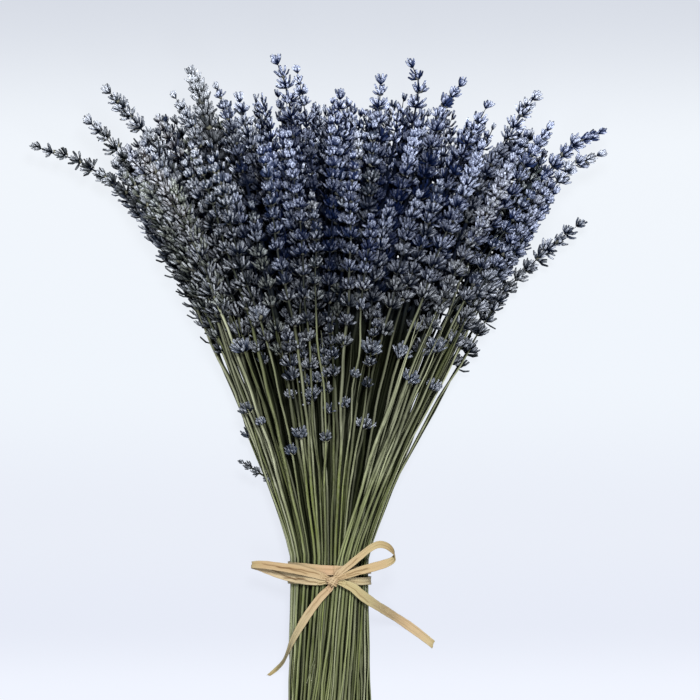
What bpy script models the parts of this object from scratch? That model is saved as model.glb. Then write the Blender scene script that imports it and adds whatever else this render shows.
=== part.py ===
"""A bunch of dried lavender, tied with raffia and laid down on a table.

Everything is in metres. +Y runs from the cut ends to the flowers, +Z is up, and the origin is on the
table under the tie. "along" is the distance along a stem from the tie, negative below it. Each stem has
a place in the tied bundle, (side, rise), inside a circle of radius 1: side -1 is the left edge and rise
+1 the top. From there all stems follow one fan, so that they spread and never cross.
"""

import math

import bmesh
import bpy
import numpy as np
from mathutils import Vector
from mathutils.kdtree import KDTree

# The bundle
TIE_HALF_WIDTH = 0.0235
TIE_HALF_HEIGHT = 0.0180
BELOW_TIE = 0.098
CUT_UNEVEN = 0.003
COLUMNS = 20
ROWS = 10
STEM_HALF = 0.00075
STEM_HALF_AT_HEAD = 0.0006
JOINED_LENGTH = 0.010
TWIST = math.radians(24)
FOOT_FLARE = 0.06
FOOT_DROP = 0.0008
EDGE_OF_BUNDLE = 0.99

# The fan above the tie
REACH = 0.318
FAN_START = 0.004
FLAT_BY = 0.16
TOP_CLIMB = 0.30
CLIMB_START = 0.02
HEAD_FLOOR = 0.0040
STEP = 0.002
DRIFT_POWER = 3
TIP_DRIFT_POWER = 6
STEMS_APART = 0.0024

# The flower heads
HEAD_LENGTH = 0.100
HEAD_CORNER = 0.0066
HEAD_TIP_SHARE = 0.42
BULK_LENGTHS = (0.262, 0.300)
FRONT_LENGTHS = (0.225, 0.282)
FRONT_RISE = 0.55
WANDER = 0.0065
LEAST_APART = 0.0084
GAP = 0.0004
PRESSED_FLAT = 0.0007
HEAD_GAP = 0.0009
CLEAR_OF_TABLE = 0.0001
TIERS = 5
SEED = 11

# Tips that stand out of the outline: where each one is, (x, y), and the place in the bundle its stem comes from
CREST_TIPS = (
    (-0.1801, 0.257, -0.88, -0.10), (-0.1471, 0.275, -0.91, 0.10), (-0.1331, 0.292, -0.76, 0.20),
    (-0.0961, 0.290, -0.57, 0.37), (-0.0841, 0.302, -0.47, 0.18), (-0.0701, 0.293, -0.41, 0.55),
    (-0.0531, 0.287, -0.32, 0.33), (-0.0311, 0.309, -0.17, 0.20), (-0.0181, 0.305, -0.10, 0.50),
    (0.0049, 0.289, 0.03, 0.30), (0.0319, 0.296, 0.18, 0.49), (0.0519, 0.307, 0.28, 0.24),
    (0.0739, 0.295, 0.40, 0.41), (0.0949, 0.282, 0.54, 0.46), (0.1199, 0.288, 0.64, 0.19),
    (0.1329, 0.271, 0.75, 0.30), (0.1619, 0.254, 0.93, 0.07), (0.1679, 0.267, 0.87, -0.10),
    (0.1539, 0.212, 0.99, -0.15),
)
# Short sprigs on the upper side of the bunch, whose heads hang low over the bare stems
LOW_TIPS = ((-0.050, 0.165, -0.59, 0.57), (-0.026, 0.150, -0.33, 0.88), (0.001, 0.155, 0.01, 0.95),
            (0.030, 0.165, 0.33, 0.88))
LOW_HEAD_LENGTH = 0.075

# The raffia tie
BAND_WIDTH = 0.0135
BAND_THICKNESS = 0.0008
BAND_SEGMENTS = 28
STRIP_HALF_THICKNESS = 0.0005
KNOT_CENTRE = (0.0021, -0.0036, 0.0416)
KNOT_SIZE = (0.0080, 0.0058, 0.0042)
# The bow, as the (x, y, z) through which each strand runs, its width there and the way its flat side faces
LEFT_LOOP = (
    (-0.0030, -0.0014, 0.0415, 0.0040, (0.0, 0.0, 1.0)), (-0.0105, 0.0008, 0.0399, 0.0050, (-0.2, 0.1, 1.0)),
    (-0.0200, 0.0031, 0.0376, 0.0054, (-0.2, 0.2, 1.0)), (-0.0300, 0.0046, 0.0352, 0.0053, (-0.2, 0.3, 1.0)),
    (-0.0400, 0.0058, 0.0326, 0.0047, (-0.4, 0.3, 0.9)), (-0.0468, 0.0056, 0.0300, 0.0040, (-1.0, 0.1, 0.0)),
    (-0.0425, 0.0042, 0.0278, 0.0044, (-0.4, 0.0, -0.9)), (-0.0360, 0.0020, 0.0282, 0.0050, (0.2, 0.0, -1.0)),
    (-0.0280, -0.0006, 0.0302, 0.0052, (0.3, 0.0, -1.0)), (-0.0200, -0.0026, 0.0334, 0.0052, (0.5, 0.0, -1.0)),
    (-0.0125, -0.0037, 0.0378, 0.0048, (0.4, 0.0, -1.0)), (-0.0050, -0.0042, 0.0400, 0.0040, (0.1, 0.0, -1.0)),
)
RIGHT_LOOP = (
    (0.0056, 0.0008, 0.0420, 0.0034, (0.0, 0.2, 1.0)), (0.0112, 0.0051, 0.0426, 0.0040, (0.0, 0.3, 1.0)),
    (0.0172, 0.0101, 0.0430, 0.0042, (0.0, 0.4, 1.0)), (0.0240, 0.0156, 0.0430, 0.0043, (0.0, 0.4, 1.0)),
    (0.0296, 0.0182, 0.0424, 0.0044, (0.2, 0.4, 1.0)), (0.0348, 0.0171, 0.0414, 0.0044, (0.5, 0.4, 0.9)),
    (0.0388, 0.0130, 0.0398, 0.0046, (1.0, 0.1, 0.2)), (0.0384, 0.0092, 0.0384, 0.0048, (0.6, -0.4, -0.7)),
    (0.0340, 0.0068, 0.0382, 0.0050, (0.1, -0.2, -1.0)), (0.0262, 0.0045, 0.0388, 0.0052, (0.0, -0.1, -1.0)),
    (0.0190, 0.0026, 0.0400, 0.0050, (0.0, -0.1, -1.0)), (0.0124, 0.0004, 0.0414, 0.0042, (0.0, -0.1, -1.0)),
    (0.0084, -0.0012, 0.0424, 0.0034, (0.0, 0.0, -1.0)),
)
LEFT_TAIL = (
    (0.0006, -0.0078, 0.0404, 0.0038, (0.0, 0.0, 1.0)), (-0.0057, -0.0142, 0.0389, 0.0048, (-0.2, 0.0, 1.0)),
    (-0.0125, -0.0234, 0.0363, 0.0050, (-0.4, 0.0, 1.0)), (-0.0181, -0.0326, 0.0323, 0.0048, (-0.7, 0.0, 1.0)),
    (-0.0226, -0.0410, 0.0271, 0.0044, (-0.9, 0.1, 0.8)), (-0.0253, -0.0478, 0.0198, 0.0038, (-1.0, 0.2, 0.6)),
    (-0.0281, -0.0537, 0.0105, 0.0032, (-0.9, 0.3, 0.8)), (-0.0321, -0.0583, 0.0028, 0.0026, (-0.5, 0.3, 1.0)),
    (-0.0369, -0.0622, 0.0009, 0.0018, (0.0, 0.0, 1.0)),
)
RIGHT_TAIL = (
    (0.0080, -0.0050, 0.0406, 0.0040, (0.1, 0.0, 1.0)), (0.0142, -0.0078, 0.0386, 0.0056, (0.3, 0.0, 1.0)),
    (0.0190, -0.0120, 0.0358, 0.0060, (0.5, 0.0, 1.0)), (0.0240, -0.0158, 0.0315, 0.0060, (0.7, 0.0, 0.9)),
    (0.0294, -0.0195, 0.0245, 0.0058, (0.9, 0.0, 0.8)), (0.0350, -0.0233, 0.0150, 0.0056, (1.0, 0.0, 0.6)),
    (0.0408, -0.0272, 0.0062, 0.0054, (0.7, 0.0, 0.9)), (0.0475, -0.0318, 0.0015, 0.0053, (0.2, 0.0, 1.0)),
    (0.0545, -0.0369, 0.0009, 0.0052, (0.0, 0.0, 1.0)), (0.0628, -0.0434, 0.0009, 0.0048, (0.0, 0.0, 1.0)),
)
STRIP_STEPS = 2


def smooth(share):
    """0 to 1 with level ends."""
    share = np.clip(share, 0.0, 1.0)
    return share * share * (3 - 2 * share)


def fan_lean(side, along):
    """How far a stem leans from +Y, in radians. The right-hand stems are straighter, the left ones droop more."""
    out = np.clip(along - FAN_START, 0, None)
    opening = 19 * (1 - np.exp(-out / 0.008))
    spread = (59 + 33 * side) * out
    droop = (15 - 14 * side) * (out / REACH) ** 4
    return side * np.radians(opening + spread + droop)


def bundle_base():
    """z of the bottom of the tied bundle, as a stem's centre. The band lies flat under its own lowest part."""
    return BAND_THICKNESS + GAP + STEM_HALF - PRESSED_FLAT


def bundle_section(side, rise, along):
    """(x, z) of a stem inside the tied bundle and down to its cut end, where the stems twist and flare."""
    below = np.clip(FAN_START - along, 0, None) / BELOW_TIE
    turn = TWIST * below
    flare = 1 + FOOT_FLARE * below**2
    turned_side = side * np.cos(turn) - rise * np.sin(turn)
    turned_rise = side * np.sin(turn) + rise * np.cos(turn)
    middle = bundle_base() + TIE_HALF_HEIGHT - FOOT_DROP * below
    return TIE_HALF_WIDTH * flare * turned_side, middle + TIE_HALF_HEIGHT * turned_rise


def fan_height(side, rise, along):
    """z above the tie: the round bundle turns into a dome with a flat floor, on which the lowest heads lie."""
    out = np.clip(along, 0, None)
    _, in_bundle = bundle_section(side, rise, along)
    floor = bundle_base() + (HEAD_FLOOR - bundle_base()) * smooth(out / FLAT_BY)
    climbed = out - CLIMB_START * (1 - np.exp(-out / CLIMB_START))
    top = bundle_base() + 2 * TIE_HALF_HEIGHT + TOP_CLIMB * climbed
    in_dome = floor + (top - floor) * (rise + np.sqrt(np.clip(1 - side**2, 0, 1))) / 2
    opened = smooth(out / FLAT_BY)
    return (1 - opened) * in_bundle + opened * in_dome


def stations():
    """The distances along a stem at which its centre line is worked out."""
    return np.arange(-BELOW_TIE - STEP, REACH + 2 * STEP, STEP)


def fan_lines(side, rise, bend, power=DRIFT_POWER):
    """Centre lines (stem, station, xyz). bend is each stem's own (x, z) drift at full reach."""
    along = stations()
    side, rise = side[:, None], rise[:, None]
    x_low, _ = bundle_section(side, rise, along[None, :])
    z = fan_height(side, rise, along[None, :])
    drift = np.clip(along / REACH, 0, None)[None, :] ** np.reshape(power, (-1, 1))
    z = np.maximum(z + bend[:, 1:] * drift, np.minimum(z, HEAD_FLOOR))
    slope = np.gradient(z, STEP, axis=1)
    level = np.sqrt(np.clip(1 - slope**2, 0.2, 1))
    lean = fan_lean(side, along[None, :])
    start = int(np.searchsorted(along, FAN_START))
    run_x, run_y = np.sin(lean) * level * STEP, np.cos(lean) * level * STEP
    x = x_low + 0.0
    x[:, start:] = x_low[:, start : start + 1] + np.cumsum(run_x[:, start:], axis=1)
    y = np.broadcast_to(along, z.shape) + 0.0
    y[:, start:] = along[start] + np.cumsum(run_y[:, start:], axis=1)
    return np.stack([x + bend[:, :1] * drift, y, z], axis=2)


def lattice(rng):
    """Each stem's (side, rise) in the bundle, and the block of up to four neighbours that it is joined to."""
    side, rise, block = [], [], []
    for column in range(COLUMNS):
        for row in range(ROWS):
            shift = (0.5 * (row % 2) + 0.2 * (row // 2)) % 1 - 0.45
            u = (column + 0.5 + shift) / COLUMNS * 2 - 1 + rng.uniform(-0.005, 0.005)
            v = (row + 0.5) / ROWS * 2 - 1 + rng.uniform(-0.018, 0.018)
            if math.hypot(u, v) <= EDGE_OF_BUNDLE:
                side.append(u)
                rise.append(v)
                block.append((column // 2, row // 2, column % 2, row % 2))
    return np.array(side), np.array(rise), block


def spread_apart(points, floor):
    """Pushes (x, z) points off each other until they are LEAST_APART, none of them below the floor."""
    points = points.copy()
    for _ in range(80):
        gap = points[:, None, :] - points[None, :, :]
        far = np.linalg.norm(gap, axis=2) + np.eye(len(points))
        push = np.clip(LEAST_APART - far, 0, None) / 2 * (1 - np.eye(len(points)))
        points += (gap / far[..., None] * push[..., None]).sum(axis=1) * 0.6
        points[:, 1] = np.maximum(points[:, 1], floor)
    return points


def nearest_free(side, rise, want_side, want_rise, taken):
    """The stem nearest to a place in the bundle that no tip has claimed."""
    far = np.hypot((side - want_side) * 2, rise - want_rise)
    far[list(taken)] = np.inf
    return int(np.argmin(far))


def grow_bunch():
    """Every sprig: its centre line, its length above the tie and its block."""
    rng = np.random.default_rng(SEED)
    side, rise, block = lattice(rng)
    along = stations()
    still = np.zeros((len(side), 2))
    plain = fan_lines(side, rise, still)
    full = int(np.searchsorted(along, 0.28))
    ends = plain[:, full, [0, 2]]
    moved = ends + rng.uniform(-WANDER, WANDER, ends.shape)
    bend = (spread_apart(moved, HEAD_FLOOR) - ends) / (along[full] / REACH) ** DRIFT_POWER

    length = rng.uniform(*BULK_LENGTHS, len(side))
    head = np.full(len(side), HEAD_LENGTH)
    front = rise > FRONT_RISE * np.sqrt(1 - side**2)
    length[front] = rng.uniform(*FRONT_LENGTHS, int(front.sum()))
    power = np.full(len(side), DRIFT_POWER)
    taken = set()
    for tips, head_length in ((CREST_TIPS, HEAD_LENGTH), (LOW_TIPS, LOW_HEAD_LENGTH)):
        for tip_x, tip_y, tip_side, tip_rise in tips:
            i = nearest_free(side, rise, tip_side, tip_rise, taken)
            taken.add(i)
            here = min(int(np.searchsorted(plain[i, :, 1], tip_y)), len(along) - 3)
            length[i] = along[here]
            head[i] = head_length
            power[i] = TIP_DRIFT_POWER
            bend[i, 0] = (tip_x - plain[i, here, 0]) / (along[here] / REACH) ** TIP_DRIFT_POWER
            bend[i, 1] *= 0.5
    for _ in range(30):
        lines = fan_lines(side, rise, bend, power)
        touching = crowded(lines, length - head)
        if not touching:
            break
        for i in touching:
            bend[i] *= 0.96 if i in taken else 0.8
    return lines, length, head, block, rise


def crowded(lines, bare_to):
    """The sprigs whose bare stem passes too near another's."""
    along = stations()
    found = set()
    bare = (along[None, :] > 0.04) & (along[None, :] < bare_to[:, None])
    for i in range(len(lines)):
        spots = lines[i][bare[i]][::2]
        for j in range(i + 1, len(lines)):
            if abs(lines[i, 80, 0] - lines[j, 80, 0]) > 0.02:
                continue
            others = lines[j][bare[j]]
            far = np.linalg.norm(spots[:, None, :] - others[None, :, :], axis=2)
            if far.min() < STEMS_APART:
                found.update((i, j))
    return found


def room_for_heads(lines, length, head_length):
    """(sprig, station) how far each head may reach from its centre line without meeting another sprig."""
    along = stations()
    room = np.full(lines.shape[:2], HEAD_CORNER)
    head = (along[None, :] <= length[:, None]) & (along[None, :] >= (length - head_length)[:, None])
    owner, station = np.nonzero(along[None, :] <= length[:, None] + STEP)
    tree = KDTree(len(owner))
    for n, (i, k) in enumerate(zip(owner, station)):
        tree.insert(lines[i, k], n)
    tree.balance()
    for i, k in zip(*np.nonzero(head)):
        for _, n, far in tree.find_range(lines[i, k], 2 * HEAD_CORNER + HEAD_GAP):
            if owner[n] != i:
                if head[owner[n], station[n]]:
                    room[i, k] = min(room[i, k], (far - HEAD_GAP) / 2)
                else:
                    room[i, k] = min(room[i, k], far - STEM_HALF * math.sqrt(2) - HEAD_GAP)
    return room


def frame_of(direction):
    """(across, up) unit vectors square to a direction, with across kept level."""
    across = direction.cross(Vector((0, 0, 1))).normalized()
    return across, across.cross(direction).normalized()


def place_ring(face, corners, centre, direction, half_across, half_up):
    across, up = frame_of(direction)
    for vertex, (a, b) in zip(face.verts, corners):
        vertex.co = centre + across * (a * half_across) + up * (b * half_up)


def grow(bm, face, corners, rings):
    """Extrudes a four-cornered face along rings of (centre, direction, half across, half up, material)."""
    for centre, direction, half_across, half_up, material in rings:
        before = set(bm.faces)
        face = bmesh.ops.extrude_discrete_faces(bm, faces=[face])["faces"][0]
        place_ring(face, corners, centre, direction, half_across, half_up)
        for new in set(bm.faces) - before:
            new.material_index = material
    return face


def point_on(line, along, at):
    """(centre, direction) on a centre line."""
    spots = [Vector([np.interp(t, along, line[:, k]) for k in range(3)]) for t in (at - STEP, at, at + STEP)]
    return spots[1], (spots[2] - spots[0]).normalized()


def stem_rings(line, along, distances):
    """Rings of a stem, which is square and thins a little towards the head."""
    rings = []
    for at in distances:
        centre, direction = point_on(line, along, at)
        half = STEM_HALF + (STEM_HALF_AT_HEAD - STEM_HALF) * smooth(at / 0.2)
        rings.append((centre, direction, half, half, 0))
    return rings


def head_rings(line, along, length, head_length, room, tiered):
    """Rings of a flower head: tiers that each widen upwards, as its whorls do, or one plain spindle."""
    tiers = TIERS if tiered else 1
    start = length - head_length
    rings = []
    for tier in range(tiers):
        shares = (0.03, 0.80) if tiered else (0.05, 0.30, 0.72)
        for step, share in enumerate(shares):
            at = start + head_length * (tier + share) / tiers
            along_head = (at - start) / head_length
            body = 1 - (1 - HEAD_TIP_SHARE) * along_head**2
            waist = 0.55 if tiered and step == 0 else 1.0
            width = min(HEAD_CORNER * body, float(np.interp(at, along, room))) * waist
            centre, direction = point_on(line, along, at)
            half = max(width / math.sqrt(2), STEM_HALF_AT_HEAD)
            rings.append((centre, direction, half, min(half, centre.z - CLEAR_OF_TABLE), 1))
    centre, direction = point_on(line, along, length)
    tip = HEAD_CORNER * 0.16
    rings.append((centre, direction, tip, tip, 1))
    return rings


def corner_at(cell_centre, a, b, y):
    return (cell_centre[0] + a * STEM_HALF, y, cell_centre[1] + b * STEM_HALF)


def joined_cells(cells):
    """The cells of a block's slab as corner lists: one for each stem, and one for each gap between neighbours."""
    made = [([(key, a, b) for a, b in ((-1, -1), (1, -1), (1, 1), (-1, 1))], key) for key in cells]
    for row in (0, 1):
        if (0, row) in cells and (1, row) in cells:
            made.append(([((0, row), 1, -1), ((1, row), -1, -1), ((1, row), -1, 1), ((0, row), 1, 1)], None))
    for column in (0, 1):
        if (column, 0) in cells and (column, 1) in cells:
            low, high = (column, 0), (column, 1)
            made.append(([(low, -1, 1), (low, 1, 1), (high, 1, -1), (high, -1, -1)], None))
    if len(cells) == 4:
        made.append(([((0, 0), 1, 1), ((1, 0), -1, 1), ((1, 1), -1, -1), ((0, 1), 1, -1)], None))
    return made


def sprig_mesh(members, lines, length, head, room, tiered):
    """Up to four sprigs as one solid. Their stems are joined where the tie presses them together."""
    along = stations()
    here = int(np.argmin(np.abs(along)))
    cells = {key: lines[i, here, [0, 2]] for key, i in members.items()}
    bm = bmesh.new()
    corners = {}
    foot, neck = [], []
    for y in (-JOINED_LENGTH / 2, JOINED_LENGTH / 2):
        for outline, key in joined_cells(cells):
            ring = []
            for corner in outline:
                if (corner, y) not in corners:
                    owner, a, b = corner
                    corners[corner, y] = bm.verts.new(corner_at(cells[owner], a, b, y))
                ring.append(corners[corner, y])
            face = bm.faces.new(ring if y < 0 else ring[::-1])
            if key is not None:
                (foot if y < 0 else neck).append((face, key))
    low_edges = [e for e in bm.edges if e.is_boundary and e.verts[0].co.y < 0 and e.verts[1].co.y < 0]
    top_of = {corners[c, -JOINED_LENGTH / 2]: corners[c, JOINED_LENGTH / 2] for c, y in corners if y < 0}
    for edge in low_edges:
        a, b = edge.verts
        bm.faces.new((a, b, top_of[b], top_of[a]))
    shape = ((-1, -1), (1, -1), (1, 1), (-1, 1))
    for face, key in foot:
        i = members[key]
        rings = stem_rings(lines[i], along, (-0.045, -BELOW_TIE + CUT_UNEVEN * (i * 0.618 % 1)))
        grow(bm, face, shape, rings)
    for face, key in neck:
        i = members[key]
        start = length[i] - head[i]
        bends = 0.022 + (start - 0.022) * np.array((0.0, 0.33, 0.67, 1.0))
        rings = stem_rings(lines[i], along, bends)
        rings += head_rings(lines[i], along, length[i], head[i], room[i], tiered(i))
        grow(bm, face, shape[::-1], rings)
    bmesh.ops.recalc_face_normals(bm, faces=bm.faces)
    return bm


def plain_material(name, colour, roughness):
    material = bpy.data.materials.new(name)
    material.use_nodes = True
    shader = material.node_tree.nodes["Principled BSDF"]
    shader.inputs["Base Color"].default_value = (*colour, 1)
    shader.inputs["Roughness"].default_value = roughness
    shader.inputs["Metallic"].default_value = 0.0
    return material


def add_object(name, bm, materials):
    mesh = bpy.data.meshes.new(name)
    bm.to_mesh(mesh)
    bm.free()
    for material in materials:
        mesh.materials.append(material)
    made = bpy.data.objects.new(name, mesh)
    bpy.context.scene.collection.objects.link(made)
    return made


def band_outline(grow_by):
    """The tie's outline round the bundle, with the flat underside on which it rests."""
    points = []
    middle = bundle_base() + TIE_HALF_HEIGHT
    for k in range(BAND_SEGMENTS):
        angle = 2 * math.pi * k / BAND_SEGMENTS
        x = (TIE_HALF_WIDTH + STEM_HALF + GAP + grow_by) * math.cos(angle)
        z = middle + (TIE_HALF_HEIGHT + STEM_HALF + GAP + grow_by) * math.sin(angle)
        points.append((x, max(z, BAND_THICKNESS - grow_by)))
    return points


def raffia_band(material):
    """Two turns of raffia pulled tight round the bundle, as one ring."""
    bm = bmesh.new()
    half = BAND_WIDTH / 2
    rings = [[bm.verts.new((x, -half, z)) for x, z in band_outline(by)] for by in (0, BAND_THICKNESS)]
    faces = []
    for k in range(BAND_SEGMENTS):
        after = (k + 1) % BAND_SEGMENTS
        faces.append(bm.faces.new((rings[0][k], rings[0][after], rings[1][after], rings[1][k])))
    made = bmesh.ops.extrude_face_region(bm, geom=faces, use_keep_orig=True)
    moved = [v for v in made["geom"] if isinstance(v, bmesh.types.BMVert)]
    bmesh.ops.translate(bm, verts=moved, vec=(0, BAND_WIDTH, 0))
    bmesh.ops.recalc_face_normals(bm, faces=bm.faces)
    return add_object("raffia_band", bm, [material])


def raffia_knot(material):
    """The flattened knot in the middle of the bow."""
    bm = bmesh.new()
    bmesh.ops.create_icosphere(bm, subdivisions=2, radius=0.5)
    bmesh.ops.scale(bm, vec=KNOT_SIZE, verts=bm.verts)
    bmesh.ops.translate(bm, vec=KNOT_CENTRE, verts=bm.verts)
    return add_object("raffia_knot", bm, [material])


def smoothed(marks):
    """A strand's marks with STRIP_STEPS stations between each two, on a Catmull-Rom spline."""
    rows = np.array([(*mark[:4], *mark[4]) for mark in marks])
    rows = np.vstack([2 * rows[0] - rows[1], rows, 2 * rows[-1] - rows[-2]])
    made = []
    for before, a, b, after in zip(rows, rows[1:], rows[2:], rows[3:]):
        for t in np.arange(STRIP_STEPS) / STRIP_STEPS:
            made.append(
                0.5 * (2 * a + (b - before) * t + (2 * before - 5 * a + 4 * b - after) * t**2
                       + (3 * a - before - 3 * b + after) * t**3)
            )
    return np.array(made + [rows[-2]])


def raffia_strand(name, marks, material):
    """A flat strand of raffia through its marks."""
    rows = smoothed(marks)
    bm = bmesh.new()
    rings = []
    for k, row in enumerate(rows):
        ahead, behind = rows[min(k + 1, len(rows) - 1)], rows[max(k - 1, 0)]
        direction = Vector(ahead[:3] - behind[:3]).normalized()
        facing = Vector(row[4:])
        facing = (facing - direction * facing.dot(direction)).normalized()
        across = direction.cross(facing) * row[3] / 2
        thick = facing * STRIP_HALF_THICKNESS
        centre = Vector(row[:3])
        corners = (centre - across - thick, centre + across - thick, centre + across + thick, centre - across + thick)
        rings.append([bm.verts.new(corner) for corner in corners])
    for low, high in zip(rings, rings[1:]):
        for k in range(4):
            after = (k + 1) % 4
            bm.faces.new((low[k], low[after], high[after], high[k]))
    bm.faces.new(rings[0][::-1])
    bm.faces.new(rings[-1])
    bmesh.ops.recalc_face_normals(bm, faces=bm.faces)
    return add_object(name, bm, [material])


def main():
    for old in list(bpy.data.objects):
        bpy.data.objects.remove(old)
    green = plain_material("dried stem", (0.30, 0.33, 0.19), 0.75)
    violet = plain_material("lavender calyx", (0.23, 0.23, 0.34), 0.85)
    straw = plain_material("raffia", (0.72, 0.54, 0.33), 0.6)
    lines, length, head, block, rise = grow_bunch()
    room = room_for_heads(lines, length, head)
    blocks = {}
    for i, (column, row, a, b) in enumerate(block):
        blocks.setdefault((column, row), {})[a, b] = i
    for number, key in enumerate(sorted(blocks), 1):
        bm = sprig_mesh(blocks[key], lines, length, head, room, lambda i: rise[i] > 0.4)
        add_object(f"lavender_sprigs_{number:02d}", bm, [green, violet])
    raffia_band(straw)
    raffia_knot(straw)
    raffia_strand("raffia_loop_left", LEFT_LOOP, straw)
    raffia_strand("raffia_loop_right", RIGHT_LOOP, straw)
    raffia_strand("raffia_tail_left", LEFT_TAIL, straw)
    raffia_strand("raffia_tail_right", RIGHT_TAIL, straw)


main()
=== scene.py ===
# A bunch of dried lavender tied with raffia, lying on a pale table.
# Metres throughout. +Y runs from the cut ends to the flowers, +Z is up, the origin is under the tie.

import math

import bpy
import numpy as np
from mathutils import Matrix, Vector


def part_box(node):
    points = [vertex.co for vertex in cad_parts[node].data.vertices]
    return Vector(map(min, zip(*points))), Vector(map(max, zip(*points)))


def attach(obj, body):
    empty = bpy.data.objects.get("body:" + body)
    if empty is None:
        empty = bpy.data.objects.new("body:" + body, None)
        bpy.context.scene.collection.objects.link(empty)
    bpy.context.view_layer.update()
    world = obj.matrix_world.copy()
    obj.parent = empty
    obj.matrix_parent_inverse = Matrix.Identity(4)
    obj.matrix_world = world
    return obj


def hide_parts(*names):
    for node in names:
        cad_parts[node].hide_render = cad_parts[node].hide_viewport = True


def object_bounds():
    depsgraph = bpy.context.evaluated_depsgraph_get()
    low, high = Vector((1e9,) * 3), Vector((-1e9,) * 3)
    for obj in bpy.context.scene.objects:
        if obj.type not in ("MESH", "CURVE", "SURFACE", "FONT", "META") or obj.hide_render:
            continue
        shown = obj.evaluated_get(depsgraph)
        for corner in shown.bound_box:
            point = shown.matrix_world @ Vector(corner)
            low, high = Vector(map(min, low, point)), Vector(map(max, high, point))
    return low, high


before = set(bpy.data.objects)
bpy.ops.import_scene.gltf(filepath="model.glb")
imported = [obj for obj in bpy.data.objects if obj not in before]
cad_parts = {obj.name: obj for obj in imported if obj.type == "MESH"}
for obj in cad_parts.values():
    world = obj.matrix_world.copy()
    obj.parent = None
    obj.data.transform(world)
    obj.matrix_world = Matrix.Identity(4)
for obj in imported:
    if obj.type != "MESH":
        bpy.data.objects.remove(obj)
cadBox = [list(corner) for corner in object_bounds()]
print("frame loaded,", len(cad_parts), "nodes")

# The camera looks straight down on the bunch, with +Y up in its view
view = {
    "centre": (0.5525, 0.5706),  # as shares of the frame's box
    "height": 4.50,
    "plane": 0.045,  # the height at which the view is viewWidth wide
    "viewWidth": 0.420,
    "sensor": 36.0,
    "clipEnd": 20,
}


# A new object in the scene.
def addObject(name, data):
    made = bpy.data.objects.new(name, data)
    bpy.context.scene.collection.objects.link(made)
    return made


# A place on one axis, from its share of the frame's box.
def share(where, axis):
    return cadBox[0][axis] + (cadBox[1][axis] - cadBox[0][axis]) * where


# Lens length = sensor * distance / width of the view.
def addCamera(cfg):
    lens = bpy.data.cameras.new("camera")
    lens.sensor_width = cfg["sensor"]
    lens.lens = cfg["sensor"] * (cfg["height"] - cfg["plane"]) / cfg["viewWidth"]
    lens.clip_end = cfg["clipEnd"]
    eye = addObject("camera", lens)
    eye.location = (share(cfg["centre"][0], 0), share(cfg["centre"][1], 1), cfg["height"])
    bpy.context.scene.camera = eye


addCamera(view)

# Shared tools for surfaces

nearZero = 1e-12


# Each row divided by its length.
def unit(rows):
    return rows / np.maximum(np.linalg.norm(rows, axis=-1, keepdims=True), nearZero)


# 0 to 1 with level ends, 3a^2 - 2a^3.
def smooth(amount):
    amount = np.clip(amount, 0.0, 1.0)
    return amount * amount * (3 - 2 * amount)


# The same over (start, distance) of the values. A negative distance runs the other way.
def ramp(values, span):
    return smooth((values - span[0]) / span[1])


# Distances along a line of points, summed up from its start.
def runOf(points):
    return np.concatenate([[0], np.cumsum(np.linalg.norm(np.diff(points, axis=0), axis=1))])


# One closed skin as flat arrays. look is the four numbers that each point carries.
def surface(points, corners, sizes, uv, look, slot=0, flat=False):
    return {"points": points, "corners": np.ravel(corners), "sizes": sizes, "uv": uv, "look": look,
            "slots": np.full(len(sizes), slot), "smooth": np.full(len(sizes), not flat)}


# Quads between rings of points that close on themselves: each corner as (point, column, ring).
def bands(rings, around):
    ring, column = np.indices((rings - 1, around)).reshape(2, -1, 1)
    ring, column = ring + [0, 0, 1, 1], column + [0, 1, 1, 0]
    return np.stack([ring * around + column % around, column, ring], axis=2)


# Bands and, at each end of a tube, a fan to a point beyond it. Gives every corner's point, column and level:
# a fan's middle is half a column on, and level 0 is the near point, 1 the first ring, rings + 1 the far point
def tubeFaces(rings, around, inward=False):
    quads = bands(rings, around) + [0, 0, 1]
    faces = [quads[:, [0, 3, 2, 1]] if inward else quads]
    for pole, ring, steps in ((0, 0, (0.5, 1, 0)), (1, rings - 1, (0.5, 0, 1))):
        column = np.arange(around)[:, None] + np.array(steps)
        point = ring * around + column.astype(int) % around
        level = np.full(column.shape, ring + 1)
        point[:, 0] = rings * around + pole
        level[:, 0] = pole * (rings + 1)
        fan = np.stack([point, column, level], axis=2)
        faces.append(fan[:, [0, 2, 1]] if inward else fan)
    corners = np.concatenate([part.reshape(-1, 3) for part in faces])
    return corners[:, 0].astype(int), corners[:, 1], corners[:, 2].astype(int), np.repeat(
        [4, 3], [len(quads), 2 * around])


# A tube through rings of points (station, point), closed by a point at each end.
def tubeSkin(ring, ends, run, look, flat):
    rings, around = ring.shape[:2]
    corners, column, level, sizes = tubeFaces(rings, around, inward=True)
    uv = np.stack([column / around, np.concatenate([run[:1], run, run[-1:]])[level]], axis=1)
    look = look.reshape(-1, 4)
    return surface(np.vstack([ring.reshape(-1, 3), *ends]), corners, sizes, uv,
                   np.vstack([look, look[0], look[-1]]), 0, flat)


# Presses heights up to least or more: lower down z becomes least + soft * exp((z - least - soft) / soft)
def pressed(z, least, soft):
    eased = least + soft * np.exp(np.minimum((z - least - soft) / soft, 0))
    return np.where(z < least + soft, eased, z)


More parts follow.
